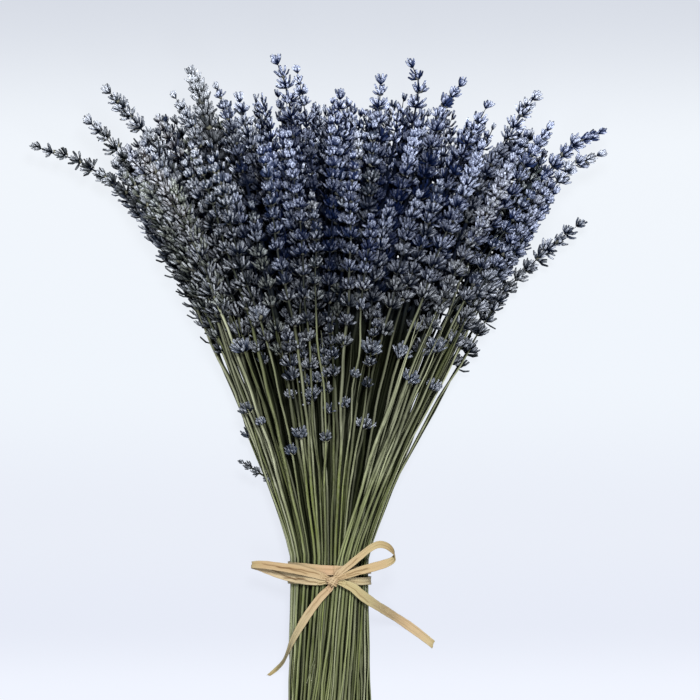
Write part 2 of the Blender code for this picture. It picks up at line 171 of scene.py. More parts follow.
# Stacks skins into one mesh object that stands for its CAD nodes.
def buildPiece(name, skins, materials, nodes):
    start = np.cumsum([0] + [len(skin["points"]) for skin in skins[:-1]])
    for skin, at in zip(skins, start):
        skin["corners"] = skin["corners"] + at
    whole = {key: np.concatenate([skin[key] for skin in skins]) for key in skins[0]}
    sizes = whole["sizes"]
    mesh = bpy.data.meshes.new(name)
    mesh.vertices.add(len(whole["points"]))
    mesh.vertices.foreach_set("co", whole["points"].astype(np.float32).ravel())
    mesh.loops.add(len(whole["corners"]))
    mesh.loops.foreach_set("vertex_index", whole["corners"].astype(np.int32))
    mesh.polygons.add(len(sizes))
    mesh.polygons.foreach_set("loop_start", (np.cumsum(sizes) - sizes).astype(np.int32))
    for material in materials:
        mesh.materials.append(material)
    mesh.polygons.foreach_set("material_index", whole["slots"].astype(np.int32))
    mesh.update(calc_edges=True)
    mesh.polygons.foreach_set("use_smooth", whole["smooth"])
    mesh.uv_layers.new(name="skin").data.foreach_set("uv", whole["uv"].astype(np.float32).ravel())
    look = mesh.attributes.new("look", "FLOAT_COLOR", "POINT")
    look.data.foreach_set("color", whole["look"].astype(np.float32).ravel())
    mesh.validate()
    piece = addObject(name, mesh)
    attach(piece, "root")
    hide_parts(*nodes)
    return piece


# Shader tools and the groups that the materials share

patterns = {
    # detail of the noise, then the two levels between which it goes from 0 to 1
    "patches": (3.0, 0.3, 0.7),
    "speckle": (2.0, 0.35, 0.68),
    "streaks": (2.0, 0.3, 0.7),
    "speckleFiner": 6.0,  # how much finer the speckle is than the patches
    "streaksFiner": 4.0,
}


# Gives a socket a value or a link from another socket.
def feed(tree, socket, value):
    if isinstance(value, bpy.types.NodeSocket):
        tree.links.new(value, socket)
    else:
        socket.default_value = (*value, 1) if isinstance(value, tuple) else value


def addNode(tree, kind, values=None, **settings):
    node = tree.nodes.new(kind)
    for key, value in settings.items():
        setattr(node, key, value)
    for key, value in (values or {}).items():
        feed(tree, node.inputs[key], value)
    return node


def mathNode(tree, operation, a, b=0.0, clamp=False):
    return addNode(tree, "ShaderNodeMath", {0: a, 1: b}, operation=operation, use_clamp=clamp).outputs[0]


def times(tree, a, b, clamp=False):
    return mathNode(tree, "MULTIPLY", a, b, clamp)


# The mix's sockets: 0 is the amount, 6 and 7 are the two colours, 2 the mixed one.
def mixColour(tree, amount, a, b):
    return addNode(tree, "ShaderNodeMix", {0: amount, 6: a, 7: b}, data_type="RGBA").outputs[2]


def rangeNode(tree, value, low, high, to=(0.0, 1.0), kind="SMOOTHSTEP"):
    cfg = {"Value": value, "From Min": low, "From Max": high, "To Min": to[0], "To Max": to[1]}
    return addNode(tree, "ShaderNodeMapRange", cfg, interpolation_type=kind).outputs[0]


# x, y and z on the piece.
def objectPlace(tree):
    return addNode(tree, "ShaderNodeTexCoord").outputs["Object"]


def partsOf(tree, vector):
    return addNode(tree, "ShaderNodeSeparateXYZ", {0: vector}).outputs


# The skin map's two numbers, round or across the piece and along it.
def skinMap(tree):
    return partsOf(tree, addNode(tree, "ShaderNodeUVMap", uv_map="skin").outputs[0])


def noise(tree, vector, scale, detail, low, high):
    made = addNode(tree, "ShaderNodeTexNoise", {"Vector": vector, "Scale": scale, "Detail": detail})
    return rangeNode(tree, made.outputs[0], low, high)


# A group of number sockets: its inputs with their values, and its outputs.
def newGroup(name, inputs, outputs):
    group = bpy.data.node_groups.new(name, "ShaderNodeTree")
    for label, value in inputs.items():
        made = group.interface.new_socket(label, in_out="INPUT", socket_type="NodeSocketFloat")
        made.default_value = value
    for label in outputs:
        group.interface.new_socket(label, in_out="OUTPUT", socket_type="NodeSocketFloat")
    return group, group.nodes.new("NodeGroupInput").outputs, group.nodes.new("NodeGroupOutput").inputs


# Cloudy patches and fine speckle, from the place on the piece.
def mottleGroup(cfg):
    group, given, out = newGroup("mottle", {"Scale": 1.0}, ("Patches", "Speckle"))
    place = objectPlace(group)
    fine = times(group, given["Scale"], cfg["speckleFiner"])
    feed(group, out["Patches"], noise(group, place, given["Scale"], *cfg["patches"]))
    feed(group, out["Speckle"], noise(group, place, fine, *cfg["speckle"]))
    return group


# Long streaks that follow a strand or a stem: noise stretched along the skin map's second axis.
def fibreGroup(cfg):
    group, given, out = newGroup("fibres", {"Across": 1.0, "Along": 1.0, "Seed": 0.0}, ("Broad", "Fine"))
    skin = skinMap(group)
    across = times(group, skin[0], given["Across"])
    along = times(group, skin[1], given["Along"])
    spot = addNode(group, "ShaderNodeCombineXYZ", {0: across, 1: along, 2: given["Seed"]}).outputs[0]
    feed(group, out["Broad"], noise(group, spot, 1.0, *cfg["streaks"]))
    feed(group, out["Fine"], noise(group, spot, cfg["streaksFiner"], *cfg["streaks"]))
    return group


mottle = mottleGroup(patterns)
fibres = fibreGroup(patterns)


# A shared group in a material, as its outputs by name.
def useGroup(tree, group, **values):
    return dict(addNode(tree, "ShaderNodeGroup", values, node_tree=group).outputs.items())


# A material with its shader. Even values are set on the shader's own sockets.
def startMaterial(name, roughness, specular):
    material = bpy.data.materials.new(name)
    material.use_nodes = True
    tree = material.node_tree
    shader = tree.nodes["Principled BSDF"]
    shader.inputs["Roughness"].default_value = roughness
    shader.inputs["Specular IOR Level"].default_value = specular
    return material, tree, shader


# The four numbers that each point of a piece carries, by name.
def lookParts(tree, names):
    look = addNode(tree, "ShaderNodeAttribute", attribute_name="look")
    parts = addNode(tree, "ShaderNodeSeparateColor", {0: look.outputs["Color"]}).outputs
    return dict(zip(names, (parts[0], parts[1], parts[2], look.outputs["Alpha"])))


# Colours laid over a base. A layer is (mask, colour, strength) or (mask, colour, strength, low, high), where
# the mask becomes a soft step from low to high
def layered(tree, base, layers, masks, hue):
    base = hue[base]
    for mask, colour, strength, *span in layers:
        amount = rangeNode(tree, masks[mask], *span) if span else masks[mask]
        amount = amount if strength == 1 else times(tree, amount, strength)
        base = mixColour(tree, amount, base, hue[colour])
    return base


def finishMaterial(tree, shader, base, height, strength, distance):
    tree.links.new(base, shader.inputs["Base Color"])
    bump = addNode(tree, "ShaderNodeBump", {"Height": height, "Strength": strength, "Distance": distance})
    tree.links.new(bump.outputs[0], shader.inputs["Normal"])


# Raffia: each strand is a thin closed loop of points carried along a route

raffia = {
    "thickness": 0.00026,
    "columns": 15,  # points across a strand
    "steps": 12,  # stations between two marks
    "curl": 0.00022,
    "curlWaves": (0.5, 260.0),  # how much the curl comes and goes, and how fast along the strand
    "folds": 0.00016,
    "foldCount": 4,
    "foldPhase": 6.28,
    "foldPitch": (3, 9),
    "foldDrift": 60,
    "foldsAtRim": 0.4,  # how much lower they are there
    "creaseDepth": 0.00045,
    "creaseWidth": 0.13,  # as a share of the half width
    "creaseWaves": (0.06, 70.0),
    "creaseFade": 0.03,
    "deepest": 0.9,
    "edgeWaves": ((0.035, 270.0, 1), (0.015, 930.0, 2)),
    "endRun": 0.004,  # how much of the end a cut or a fray draws out
    "cut": 0.0008,
    "fray": 0.0004,
    "paleRim": (0.25, 0.6),  # how pale the rims are, and where on the half width that starts
    "roughness": 0.7,
    "specular": 0.12,
    "grain": {"Across": 9.0, "Along": 55.0},
    "bump": (0.3, 0.00020),
    "colours": {
        "straw": (0.262, 0.184, 0.086),
        "pale": (0.358, 0.304, 0.196),
        "tan": (0.215, 0.118, 0.043),
        "pink": (0.320, 0.202, 0.130),
        "green": (0.262, 0.250, 0.112),
        # painted shade in the creases
        "crease": (0.085, 0.040, 0.012),
    },
    "layers": (("tone", "pale", 1), ("pink", "pink", 1), ("green", "green", 1), ("Broad", "tan", 0.34),
               ("Fine", "pale", 0.25), ("crease", "crease", 1)),
}

# The strands' routes, the same points as the solids have: x, y, z, the width there and the way the flat side
# faces
leftLoop = (
    (-0.0030, -0.0014, 0.0415, 0.0040, (0.0, 0.0, 1.0)),
    (-0.0105, 0.0008, 0.0399, 0.0050, (-0.2, 0.1, 1.0)),
    (-0.0200, 0.0031, 0.0376, 0.0054, (-0.2, 0.2, 1.0)),
    (-0.0300, 0.0046, 0.0352, 0.0053, (-0.2, 0.3, 1.0)),
    (-0.0400, 0.0058, 0.0326, 0.0047, (-0.4, 0.3, 0.9)),
    (-0.0468, 0.0056, 0.0300, 0.0040, (-1.0, 0.1, 0.0)),
    (-0.0425, 0.0042, 0.0278, 0.0044, (-0.4, 0.0, -0.9)),
    (-0.0360, 0.0020, 0.0282, 0.0050, (0.2, 0.0, -1.0)),
    (-0.0280, -0.0006, 0.0302, 0.0052, (0.3, 0.0, -1.0)),
    (-0.0200, -0.0026, 0.0334, 0.0052, (0.5, 0.0, -1.0)),
    (-0.0125, -0.0037, 0.0378, 0.0048, (0.4, 0.0, -1.0)),
    (-0.0050, -0.0042, 0.0400, 0.0040, (0.1, 0.0, -1.0)),
)
rightLoop = (
    (0.0056, 0.0008, 0.0420, 0.0034, (0.0, 0.2, 1.0)), (0.0112, 0.0051, 0.0426, 0.0040, (0.0, 0.3, 1.0)),
    (0.0172, 0.0101, 0.0430, 0.0042, (0.0, 0.4, 1.0)), (0.0240, 0.0156, 0.0430, 0.0043, (0.0, 0.4, 1.0)),
    (0.0296, 0.0182, 0.0424, 0.0044, (0.2, 0.4, 1.0)), (0.0348, 0.0171, 0.0414, 0.0044, (0.5, 0.4, 0.9)),
    (0.0388, 0.0130, 0.0398, 0.0046, (1.0, 0.1, 0.2)), (0.0384, 0.0092, 0.0384, 0.0048, (0.6, -0.4, -0.7)),
    (0.0340, 0.0068, 0.0382, 0.0050, (0.1, -0.2, -1.0)),
    (0.0262, 0.0045, 0.0388, 0.0052, (0.0, -0.1, -1.0)),
    (0.0190, 0.0026, 0.0400, 0.0050, (0.0, -0.1, -1.0)),
    (0.0124, 0.0004, 0.0414, 0.0042, (0.0, -0.1, -1.0)),
    (0.0084, -0.0012, 0.0424, 0.0034, (0.0, 0.0, -1.0)),
)
leftTail = (
    (0.0006, -0.0078, 0.0404, 0.0038, (0.0, 0.0, 1.0)),
    (-0.0057, -0.0142, 0.0389, 0.0048, (-0.2, 0.0, 1.0)),
    (-0.0125, -0.0234, 0.0363, 0.0050, (-0.4, 0.0, 1.0)),
    (-0.0181, -0.0326, 0.0323, 0.0048, (-0.7, 0.0, 1.0)),
    (-0.0226, -0.0410, 0.0271, 0.0044, (-0.9, 0.1, 0.8)),
    (-0.0253, -0.0478, 0.0198, 0.0038, (-1.0, 0.2, 0.6)),
    (-0.0281, -0.0537, 0.0105, 0.0032, (-0.9, 0.3, 0.8)),
    (-0.0321, -0.0583, 0.0028, 0.0026, (-0.5, 0.3, 1.0)),
    (-0.0369, -0.0622, 0.0009, 0.0018, (0.0, 0.0, 1.0)),
)
rightTail = (
    (0.0080, -0.0050, 0.0406, 0.0040, (0.1, 0.0, 1.0)), (0.0142, -0.0078, 0.0386, 0.0056, (0.3, 0.0, 1.0)),
    (0.0190, -0.0120, 0.0358, 0.0060, (0.5, 0.0, 1.0)), (0.0240, -0.0158, 0.0315, 0.0060, (0.7, 0.0, 0.9)),
    (0.0294, -0.0195, 0.0245, 0.0058, (0.9, 0.0, 0.8)), (0.0350, -0.0233, 0.0150, 0.0056, (1.0, 0.0, 0.6)),
    (0.0408, -0.0272, 0.0062, 0.0054, (0.7, 0.0, 0.9)), (0.0475, -0.0318, 0.0015, 0.0053, (0.2, 0.0, 1.0)),
    (0.0545, -0.0369, 0.0009, 0.0052, (0.0, 0.0, 1.0)), (0.0628, -0.0434, 0.0009, 0.0048, (0.0, 0.0, 1.0)),
)


# look is (tone, pink, green, crease), the last painted shade in the creases. Streaks run along the strand
def raffiaMaterial(cfg):
    material, tree, shader = startMaterial("raffia", cfg["roughness"], cfg["specular"])
    masks = lookParts(tree, ("tone", "pink", "green", "crease")) | useGroup(tree, fibres, **cfg["grain"])
    base = layered(tree, "straw", cfg["layers"], masks, cfg["colours"])
    finishMaterial(tree, shader, base, masks["Fine"], *cfg["bump"])
    return material


# Catmull-Rom rows through the marks, the same curve as the solids follow.
def splined(marks, steps):
    rows = np.array([(*mark[:4], *mark[4]) for mark in marks])
    rows = np.vstack([2 * rows[0] - rows[1], rows, 2 * rows[-1] - rows[-2]])
    t = (np.arange(steps) / steps)[None, :, None]
    before, a, b, after = (rows[k : len(rows) - 3 + k, None, :] for k in range(4))
    curve = 0.5 * (
        2 * a + (b - before) * t + (2 * before - 5 * a + 4 * b - after) * t**2
        + (3 * a - before - 3 * b + after) * t**3
    )
    return np.vstack([curve.reshape(-1, rows.shape[1]), rows[-2]])


# Numbers for each station between given marks (share, ...), straight from one mark to the next
def shaded(marks, count):
    table = np.array(marks, dtype=float).T
    return np.stack([np.interp(np.linspace(0, 1, count), table[0], row) for row in table[1:]], axis=1)


# Closes the loops of a strand into a skin: bands round it, and quads between its two sides at each end.
def loopSkin(loop, run, look):
    count, around = loop.shape[:2]
    columns = around // 2
    j = np.arange(columns - 1)
    mirror = around - 1 - j
    near = np.stack([mirror - 1, mirror, j, j + 1], axis=1)
    far = (count - 1) * around + np.stack([mirror, mirror - 1, j + 1, j], axis=1)
    faces = np.vstack([bands(count, around)[:, ::-1, 0], near, far])
    wide = np.concatenate([np.linspace(0, 1, columns), np.linspace(1, 0, columns)])
    place = np.stack(np.broadcast_arrays(wide, run), axis=2).reshape(-1, 2)
    uv = place[faces.ravel()]
    return surface(loop.reshape(-1, 3), faces, np.full(len(faces), 4), uv, look.reshape(-1, 4))


# A flat strand: at each station a thin loop of points, bowed by curl * (t^2 - 1/3), with small lengthwise
# folds, and dented where a crease runs. t goes from -1 to 1 across it. cut slants its end and fray splits it.
# A crease is (from, to, t at its start, t at its end, depth), its first two as shares of the length
def strandSkin(rows, look, seed, curl, creases, cut=0.0, fray=0.0):
    cfg = raffia
    rng = np.random.default_rng(seed)
    centre = rows[:, :3]
    direction = unit(np.gradient(centre, axis=0))
    facing = unit(rows[:, 4:] - direction * (rows[:, 4:] * direction).sum(1, keepdims=True))
    across = np.cross(direction, facing)
    run = runOf(centre)[:, None]
    s = run / run[-1]
    t = np.linspace(-1, 1, cfg["columns"])[None, :]
    sway, pitch = cfg["curlWaves"]
    height = cfg["curl"] * curl * (t**2 - 1 / 3) * (1 + sway * np.sin(run * pitch + seed))
    for k in range(cfg["foldCount"]):
        phase, pitch = rng.uniform(0, cfg["foldPhase"]), rng.uniform(*cfg["foldPitch"])
        drift = rng.uniform(-cfg["foldDrift"], cfg["foldDrift"])
        fold = np.sin(t * pitch + phase + run * drift) * cfg["folds"] / (1 + k)
        height = height + fold * (1 - cfg["foldsAtRim"] * t**2)
    dent = np.zeros(height.shape)
    sway, pitch = cfg["creaseWaves"]
    for begin, end, first, last, depth in creases:
        line = first + (last - first) * np.clip((s - begin) / (end - begin), 0, 1)
        line = line + sway * np.sin(s * pitch + seed)
        window = ramp(s, (begin, cfg["creaseFade"])) * ramp(s, (end, -cfg["creaseFade"]))
        dent += depth * window * np.exp(-(((t - line) / cfg["creaseWidth"]) ** 2))
    edge = 1 + sum(size * np.sin(run * pitch + turns * seed) for size, pitch, turns in cfg["edgeWaves"])
    aside = rows[:, 3:4] * edge / 2 * t
    height = height - cfg["creaseDepth"] * dent
    reach = (cut * t + fray * rng.uniform(-1, 1, t.shape)) * smooth((run - run[-1]) / cfg["endRun"] + 1)
    middle = centre[:, None] + sum(way[:, None] * size[..., None] for way, size in (
        (across, aside), (facing, height), (direction, reach)))
    thick = facing[:, None] * cfg["thickness"] / 2
    loop = np.concatenate([middle + thick, (middle - thick)[:, ::-1]], axis=1)
    rim = cfg["paleRim"][0] * ramp(np.abs(t), (cfg["paleRim"][1], 1 - cfg["paleRim"][1]))
    spread = np.repeat(look[:, None], loop.shape[1], axis=1)
    # the rims get paler, and the creases get painted shade
    for part, more, most in ((0, rim, 1), (3, dent, cfg["deepest"])):
        both = np.concatenate([more, more[:, ::-1]], axis=1)
        spread[:, :, part] = np.clip(spread[:, :, part] + both, 0, most)
    return loopSkin(loop, run, spread)


raffiaFinish = raffiaMaterial(raffia)
# The strands of the bow. Creases are as above; colours are (share of the length, tone, pink, green, crease),
# the last painted shade
bow = {
    "raffia_left_loop": {
        "node": "raffia_loop_left", "marks": leftLoop, "width": 0.0054, "farEnd": "object",
        "stiffness": "stiff", "curl": 0.6, "seed": 3,
        "creases": ((0.02, 0.34, 0.35, -0.15, 0.9), (0.10, 0.44, -0.45, 0.25, 0.7),
                    (0.62, 0.84, 0.6, -0.3, 1.0), (0.72, 0.90, -0.5, 0.4, 0.9),
                    (0.80, 1.0, 0.5, -0.4, 0.9)),
        # where the loop turns, at 0.475, painted shade darkens it; the lower strand's full tone is partly its
        # paler colour and partly painted light against the upper strand's shadow
        "colours": ((0, 0.5, 0.2, 0, 0), (0.2, 0.2, 0.15, 0, 0), (0.36, 0.2, 0.25, 0, 0),
                    (0.44, 0.3, 0, 0.35, 0.1), (0.475, 0.3, 0, 0.3, 0.75), (0.50, 0.7, 0.1, 0.1, 0.1),
                    (0.56, 1, 0.3, 0, 0), (0.8, 1, 0.1, 0.05, 0), (1, 0.8, 0.1, 0.1, 0)),
    },
    "raffia_right_loop": {
        "node": "raffia_loop_right", "marks": rightLoop, "width": 0.0052, "farEnd": "object",
        "stiffness": "stiff", "curl": 0.6, "seed": 5,
        "creases": ((0.0, 0.2, 0.3, -0.1, 0.7), (0.78, 1.0, 0.1, -0.3, 0.8), (0.85, 1.0, 0.7, 0.2, 0.8)),
        "colours": ((0, 0.7, 0.3, 0, 0), (0.15, 0.5, 0.2, 0.1, 0), (0.3, 0.35, 0, 0.3, 0.05),
                    (0.42, 0.1, 0.1, 0.3, 0.2), (0.5, 0, 0, 0.4, 0.45), (0.56, 0.4, 0, 0.4, 0.05),
                    (0.7, 0.3, 0.25, 0.1, 0), (0.9, 0.3, 0.2, 0.1, 0), (1, 0.2, 0.2, 0, 0.1)),
    },
    "raffia_left_tail": {
        "node": "raffia_tail_left", "marks": leftTail, "width": 0.0050, "farEnd": "bare",
        "stiffness": "medium", "curl": 0.8, "seed": 7,
        "creases": ((0.0, 0.3, 0.1, 0.3, 0.5), (0.55, 0.97, 0.1, -0.1, 0.5)),
        "colours": ((0, 0.5, 0.55, 0, 0), (0.16, 0.8, 0.45, 0.1, 0), (0.35, 1, 0.15, 0.2, 0),
                    (0.6, 1, 0, 0.5, 0), (0.85, 0.6, 0, 0.75, 0.05), (1, 0.3, 0, 0.6, 0.3)),
    },
    "raffia_right_tail": {
        "node": "raffia_tail_right", "marks": rightTail, "width": 0.0060, "farEnd": "bare",
        "stiffness": "medium", "curl": 0.8, "seed": 9,
        "creases": ((0.0, 0.28, 0.0, 0.4, 0.5), (0.3, 0.9, 0.35, 0.45, 0.25)),
        "colours": ((0, 0.6, 0, 0.5, 0), (0.3, 0.7, 0, 0.55, 0), (0.5, 0.6, 0.25, 0.3, 0),
                    (0.72, 0.5, 0.5, 0.1, 0), (0.9, 0.6, 0.35, 0.1, 0), (0.97, 0.7, 0.2, 0.3, 0),
                    (1, 0.5, 0, 0.6, 0.2)),
    },
}


# Loops and tails of the bow, each a strand of its own
def addBow():
    for name, own in bow.items():
        rows = splined(own["marks"], raffia["steps"])
        colours = shaded(own["colours"], len(rows))
        skin = strandSkin(rows, colours, own["seed"], own["curl"], own["creases"],
                          raffia["cut"], raffia["fray"])
        piece = buildPiece(name, [skin], [raffiaFinish], [own["node"]])


addBow()
print("bow made")

# The two turns round the bundle, inside the box of the frame's band
wrap = {
    "stations": 160,
    "start": math.radians(84),  # under the knot
    "inset": 0.0005,  # from the outside of the band to the middle of the raffia
    "curl": 0.5,
    "pressed": (0.00012, 0.0004),  # least height over the table, and over what height it is eased
    "turns": (
        # y at the left, on top and at the right, then the width there; both as shares of the band's width
        {"y": (0.31, 0.19, 0.17), "width": (0.47, 0.44, 0.31), "lift": 0.0, "seed": 13,
         "creases": ((0.62, 0.78, 0.3, 0.0, 0.5), (0.15, 0.5, -0.3, 0.2, 0.5)),
         "colours": ((0, 0.3, 0.5, 0, 0), (0.1, 0.4, 0.1, 0.2, 0), (0.5, 0.5, 0, 0.3, 0),
                     (0.76, 0.6, 0, 0.15, 0), (0.92, 0.3, 0.15, 0, 0), (0.97, 0.3, 0.75, 0, 0),
                     (1, 0.3, 0.6, 0, 0))},
        {"y": (-0.26, -0.29, -0.31), "width": (0.34, 0.30, 0.36), "lift": 0.00012, "seed": 17,
         "creases": ((0.05, 0.3, 0.2, 0.3, 0.5), (0.7, 0.95, 0.3, 0.1, 0.5)),
         "colours": ((0, 0.8, 0.1, 0.2, 0), (0.15, 1, 0, 0.2, 0), (0.5, 0.5, 0, 0.3, 0),
                     (0.8, 0.9, 0, 0.35, 0), (1, 0.6, 0.1, 0.1, 0))},
    ),
}


# One turn: an ellipse round the bundle from under the knot to there. y sways with the cosine of the angle
def wrapSkin(turn, low, high):
    outward = turn["lift"] - wrap["inset"]
    middle, half = (low + high) / 2, (high - low) / 2
    band = high[1] - low[1]
    centreZ = bunch["base"] + bunch["tieHalfHeight"]
    reach = high[2] - centreZ
    angle = wrap["start"] - np.linspace(0, 2 * math.pi, wrap["stations"])
    side, upper = np.cos(angle), np.sin(angle)
    y, width = (band * (np.where(side > 0, right, left) * np.abs(side) + top * (1 - np.abs(side)))
                for left, top, right in (turn["y"], turn["width"]))
    rows = np.stack([
        middle[0] + (half[0] + outward) * side, middle[1] + y, centreZ + (reach + outward) * upper, width,
        side / (half[0] + outward), 0 * side, upper / reach], axis=1)
    skin = strandSkin(rows, shaded(turn["colours"], len(rows)), turn["seed"], wrap["curl"], turn["creases"])
    skin["points"][:, 2] = pressed(skin["points"][:, 2], *wrap["pressed"])
    return skin


# The knot: a folded core with short turns over it, and throats that reach the loops and tails
knot = {
    "core": 0.86,  # of the frame's knot
    "rings": 14,
    "sides": 22,
    "folds": (0.09, 5, 0.6),  # depth, number and start of the folds round the core
    "coreLook": (0.3, 0.5, 0.0, 0.15),
    # (direction across the bundle in degrees, offset sideways and width as shares of the knot's width, lift)
    "turns": ((52, -0.02, 0.50, 0.00030), (16, 0.16, 0.34, 0.00010), (-30, -0.14, 0.36, 0.00018)),
    "turnReach": 1.45,  # radians to each side of the top
    "turnStations": 26,
    "turnWaist": 0.72,  # width on top, as a share
    "turnCurl": 1.4,
    "turnCreases": ((0.0, 1.0, 0.35, -0.2, 0.7),),
    "turnColours": ((0, 0.3, 0.5, 0, 0.1), (0.5, 0.8, 0.3, 0, 0), (1, 0.3, 0.4, 0.1, 0.1)),
    "turnSeed": 40,
    "throatFrom": 0.1,  # height over the knot's middle, as a share of its half height
    "throatLift": 0.00030,
    "throatWay": (0.15, 0.6, 1.0),  # shares of the way from there to the strand's first mark
    "throatPast": (0.0022, 0.6),  # how far it goes past that mark, and how much of the lift is left
    "throatWidths": (0.6, 0.75, 0.98, 1.02),
    "throatWidens": 0.3,
    "throatSteps": 6,
    "throatCurl": 1.2,
    "throatCreases": ((0.0, 0.9, 0.3, 0.45, 0.8), (0.0, 0.9, -0.35, -0.5, 0.7)),
    "throatSeed": 60,
    # the strand's marks and its tone, pink and green
    "throats": ((leftLoop, 0.5, 0.2, 0), (leftLoop[::-1], 0.7, 0.1, 0.2), (rightLoop, 0.7, 0.3, 0),
                (rightLoop[::-1], 0.3, 0.2, 0), (leftTail, 0.5, 0.55, 0), (rightTail, 0.6, 0, 0.5)),
}


# An ellipsoid whose radius swells and sinks with the angle round its long axis, as pinched folds do
def knotCore(middle, half):
    depth, number, start = knot["folds"]
    turn = 2 * math.pi * np.arange(knot["sides"])[None, :] / knot["sides"]
    bend = np.linspace(-math.pi / 2, math.pi / 2, knot["rings"] + 2)[1:-1, None]
    swell = np.cos(bend) * (1 + depth * np.sin(number * turn + start) * np.cos(bend))
    ring = np.stack([np.sin(bend) + 0 * turn, swell * np.cos(turn), swell * np.sin(turn)], axis=2)
    ring = ring * half + middle
    ends = (middle - half * [1, 0, 0], middle + half * [1, 0, 0])
    look = np.tile(knot["coreLook"], (ring.shape[0] * ring.shape[1], 1))
    return tubeSkin(ring, ends, np.sin(bend[:, 0]) * half[0], look, flat=False)


# A strand over the knot: half an ellipse that rises with the cosine
def knotTurn(middle, half, degrees, offset, width, lift, seed):
    q = np.linspace(-knot["turnReach"], knot["turnReach"], knot["turnStations"])[:, None]
    way = np.array([math.cos(math.radians(degrees)), math.sin(math.radians(degrees)), 0.0])
    sideways, upward = np.array([-way[1], way[0], 0.0]), np.array([0.0, 0.0, 1.0])
    long = 1 / math.hypot(way[0] / half[0], way[1] / half[1])
    size = 2 * half[0]
    centre = middle + sideways * offset * size + np.sin(q) * way * (long + lift)
    centre = centre + np.cos(q) * upward * (half[2] + lift)
    facing = np.sin(q) * way / long + np.cos(q) * upward / half[2]
    wide = size * width * (knot["turnWaist"] + (1 - knot["turnWaist"]) * np.sin(q) ** 2)
    rows = np.concatenate([centre, wide, facing], axis=1)
    look = shaded(knot["turnColours"], len(rows))
    return strandSkin(rows, look, seed, knot["turnCurl"], knot["turnCreases"])


# A short strand from the knot's middle over the first part of a loop or a tail
def throat(middle, marks, look, seed):
    first, second = np.array(marks[0][:3]), np.array(marks[1][:3])
    lift = np.array([0, 0, knot["throatLift"]])
    past, left = knot["throatPast"]
    path = [middle + (first - middle) * way + lift for way in knot["throatWay"]]
    path.append(first + unit(second - first) * past + lift * left)
    widths = [marks[0][3]] * 3 + [marks[0][3] + knot["throatWidens"] * (marks[1][3] - marks[0][3])]
    rows = splined([(*p, w * part, marks[0][4]) for p, w, part in zip(path, widths, knot["throatWidths"])],
                   knot["throatSteps"])
    return strandSkin(rows, np.tile(look, (len(rows), 1)), seed, knot["throatCurl"], knot["throatCreases"])


def addTie():
    low, high = np.array(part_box("raffia_band"))
    turns = [wrapSkin(turn, low, high) for turn in wrap["turns"]]
    buildPiece("raffia_wraps", turns, [raffiaFinish], ["raffia_band"])
    low, high = np.array(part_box("raffia_knot"))
    middle, half = (low + high) / 2, (high - low) / 2
    skins = [knotCore(middle, half * knot["core"])]
    skins += [knotTurn(middle, half, *turn, knot["turnSeed"] + k) for k, turn in enumerate(knot["turns"])]
    deep = middle + half * [0, 0, knot["throatFrom"]]
    for k, (marks, *colour) in enumerate(knot["throats"]):
        skins.append(throat(deep, marks, (*colour, 0.0), knot["throatSeed"] + k))
    buildPiece("raffia_pinch", skins, [raffiaFinish], ["raffia_knot"])


# The bunch: where every stem runs, the same layout as the solids have

bunch = {
    "tieHalfWidth": 0.0235,
    "tieHalfHeight": 0.0180,
    "belowTie": 0.098,
    "cutUneven": 0.003,
    "columns": 20,
    "rows": 10,
    "rowShift": (0.5, 0.2, 0.45),  # of every second row, of every second pair of rows, and of all
    "jitter": (0.005, 0.018),
    "twist": math.radians(24),
    "footFlare": 0.06,
    "footDrop": 0.0008,
    "edge": 0.99,
    "base": 0.00125,  # the lowest stems' centre line under the tie
    "reach": 0.318,
    "fanStart": 0.004,
    "opening": (19, 0.008),  # degrees, and the distance over which the fan opens
    "spread": (59, 33),  # degrees for each metre, then more or less of them towards the sides
    "droop": (15, -14, 4),  # the same in all, and the power of the distance
    "flatBy": 0.16,
    "topClimb": 0.30,
    "climbStart": 0.02,
    "headFloor": 0.0040,
    "levelLeast": 0.2,
    "step": 0.002,
    "driftPower": 3,
    "tipDriftPower": 6,
    "stemsApart": 0.0024,
    "bareFrom": 0.04,
    "lookAside": (80, 0.02),  # stems further apart than this at that station can't touch
    "partRounds": 30,
    "sideCounts": 2,  # how much more a place's side counts than its rise when a set tip picks its stem
    "setRise": 0.5,  # what is left of such a stem's bend upwards
    "partBy": (0.8, 0.96),  # what a round leaves of a bend, in the mass and for the sprigs with set tips
    "headLength": 0.100,
    "lowHeadLength": 0.075,
    "bulkLengths": (0.262, 0.300),
    "frontLengths": (0.225, 0.282),
    "frontRise": 0.55,
    "wander": 0.0065,
    "wanderAt": 0.28,
    "leastApart": 0.0084,
    "pushRounds": 80,
    "pushShare": 0.6,
    "seed": 11,
}
# Tips that stand out of the outline: (x, y) of each, and the place in the bundle that its stem comes from
crestTips = (
    (-0.1801, 0.257, -0.88, -0.10), (-0.1471, 0.275, -0.91, 0.10), (-0.1331, 0.292, -0.76, 0.20),
    (-0.0961, 0.290, -0.57, 0.37), (-0.0841, 0.302, -0.47, 0.18), (-0.0701, 0.293, -0.41, 0.55),
    (-0.0531, 0.287, -0.32, 0.33), (-0.0311, 0.309, -0.17, 0.20), (-0.0181, 0.305, -0.10, 0.50),
    (0.0049, 0.289, 0.03, 0.30), (0.0319, 0.296, 0.18, 0.49), (0.0519, 0.307, 0.28, 0.24),
    (0.0739, 0.295, 0.40, 0.41), (0.0949, 0.282, 0.54, 0.46), (0.1199, 0.288, 0.64, 0.19),
    (0.1329, 0.271, 0.75, 0.30), (0.1619, 0.254, 0.93, 0.07), (0.1679, 0.267, 0.87, -0.10),
    (0.1539, 0.212, 0.99, -0.15),
)
lowTips = (
    (-0.050, 0.165, -0.59, 0.57), (-0.026, 0.150, -0.33, 0.88), (0.001, 0.155, 0.01, 0.95),
    (0.030, 0.165, 0.33, 0.88),
)


# Distances along a stem from the tie.
def stations():
    return np.arange(-bunch["belowTie"] - bunch["step"], bunch["reach"] + 2 * bunch["step"], bunch["step"])


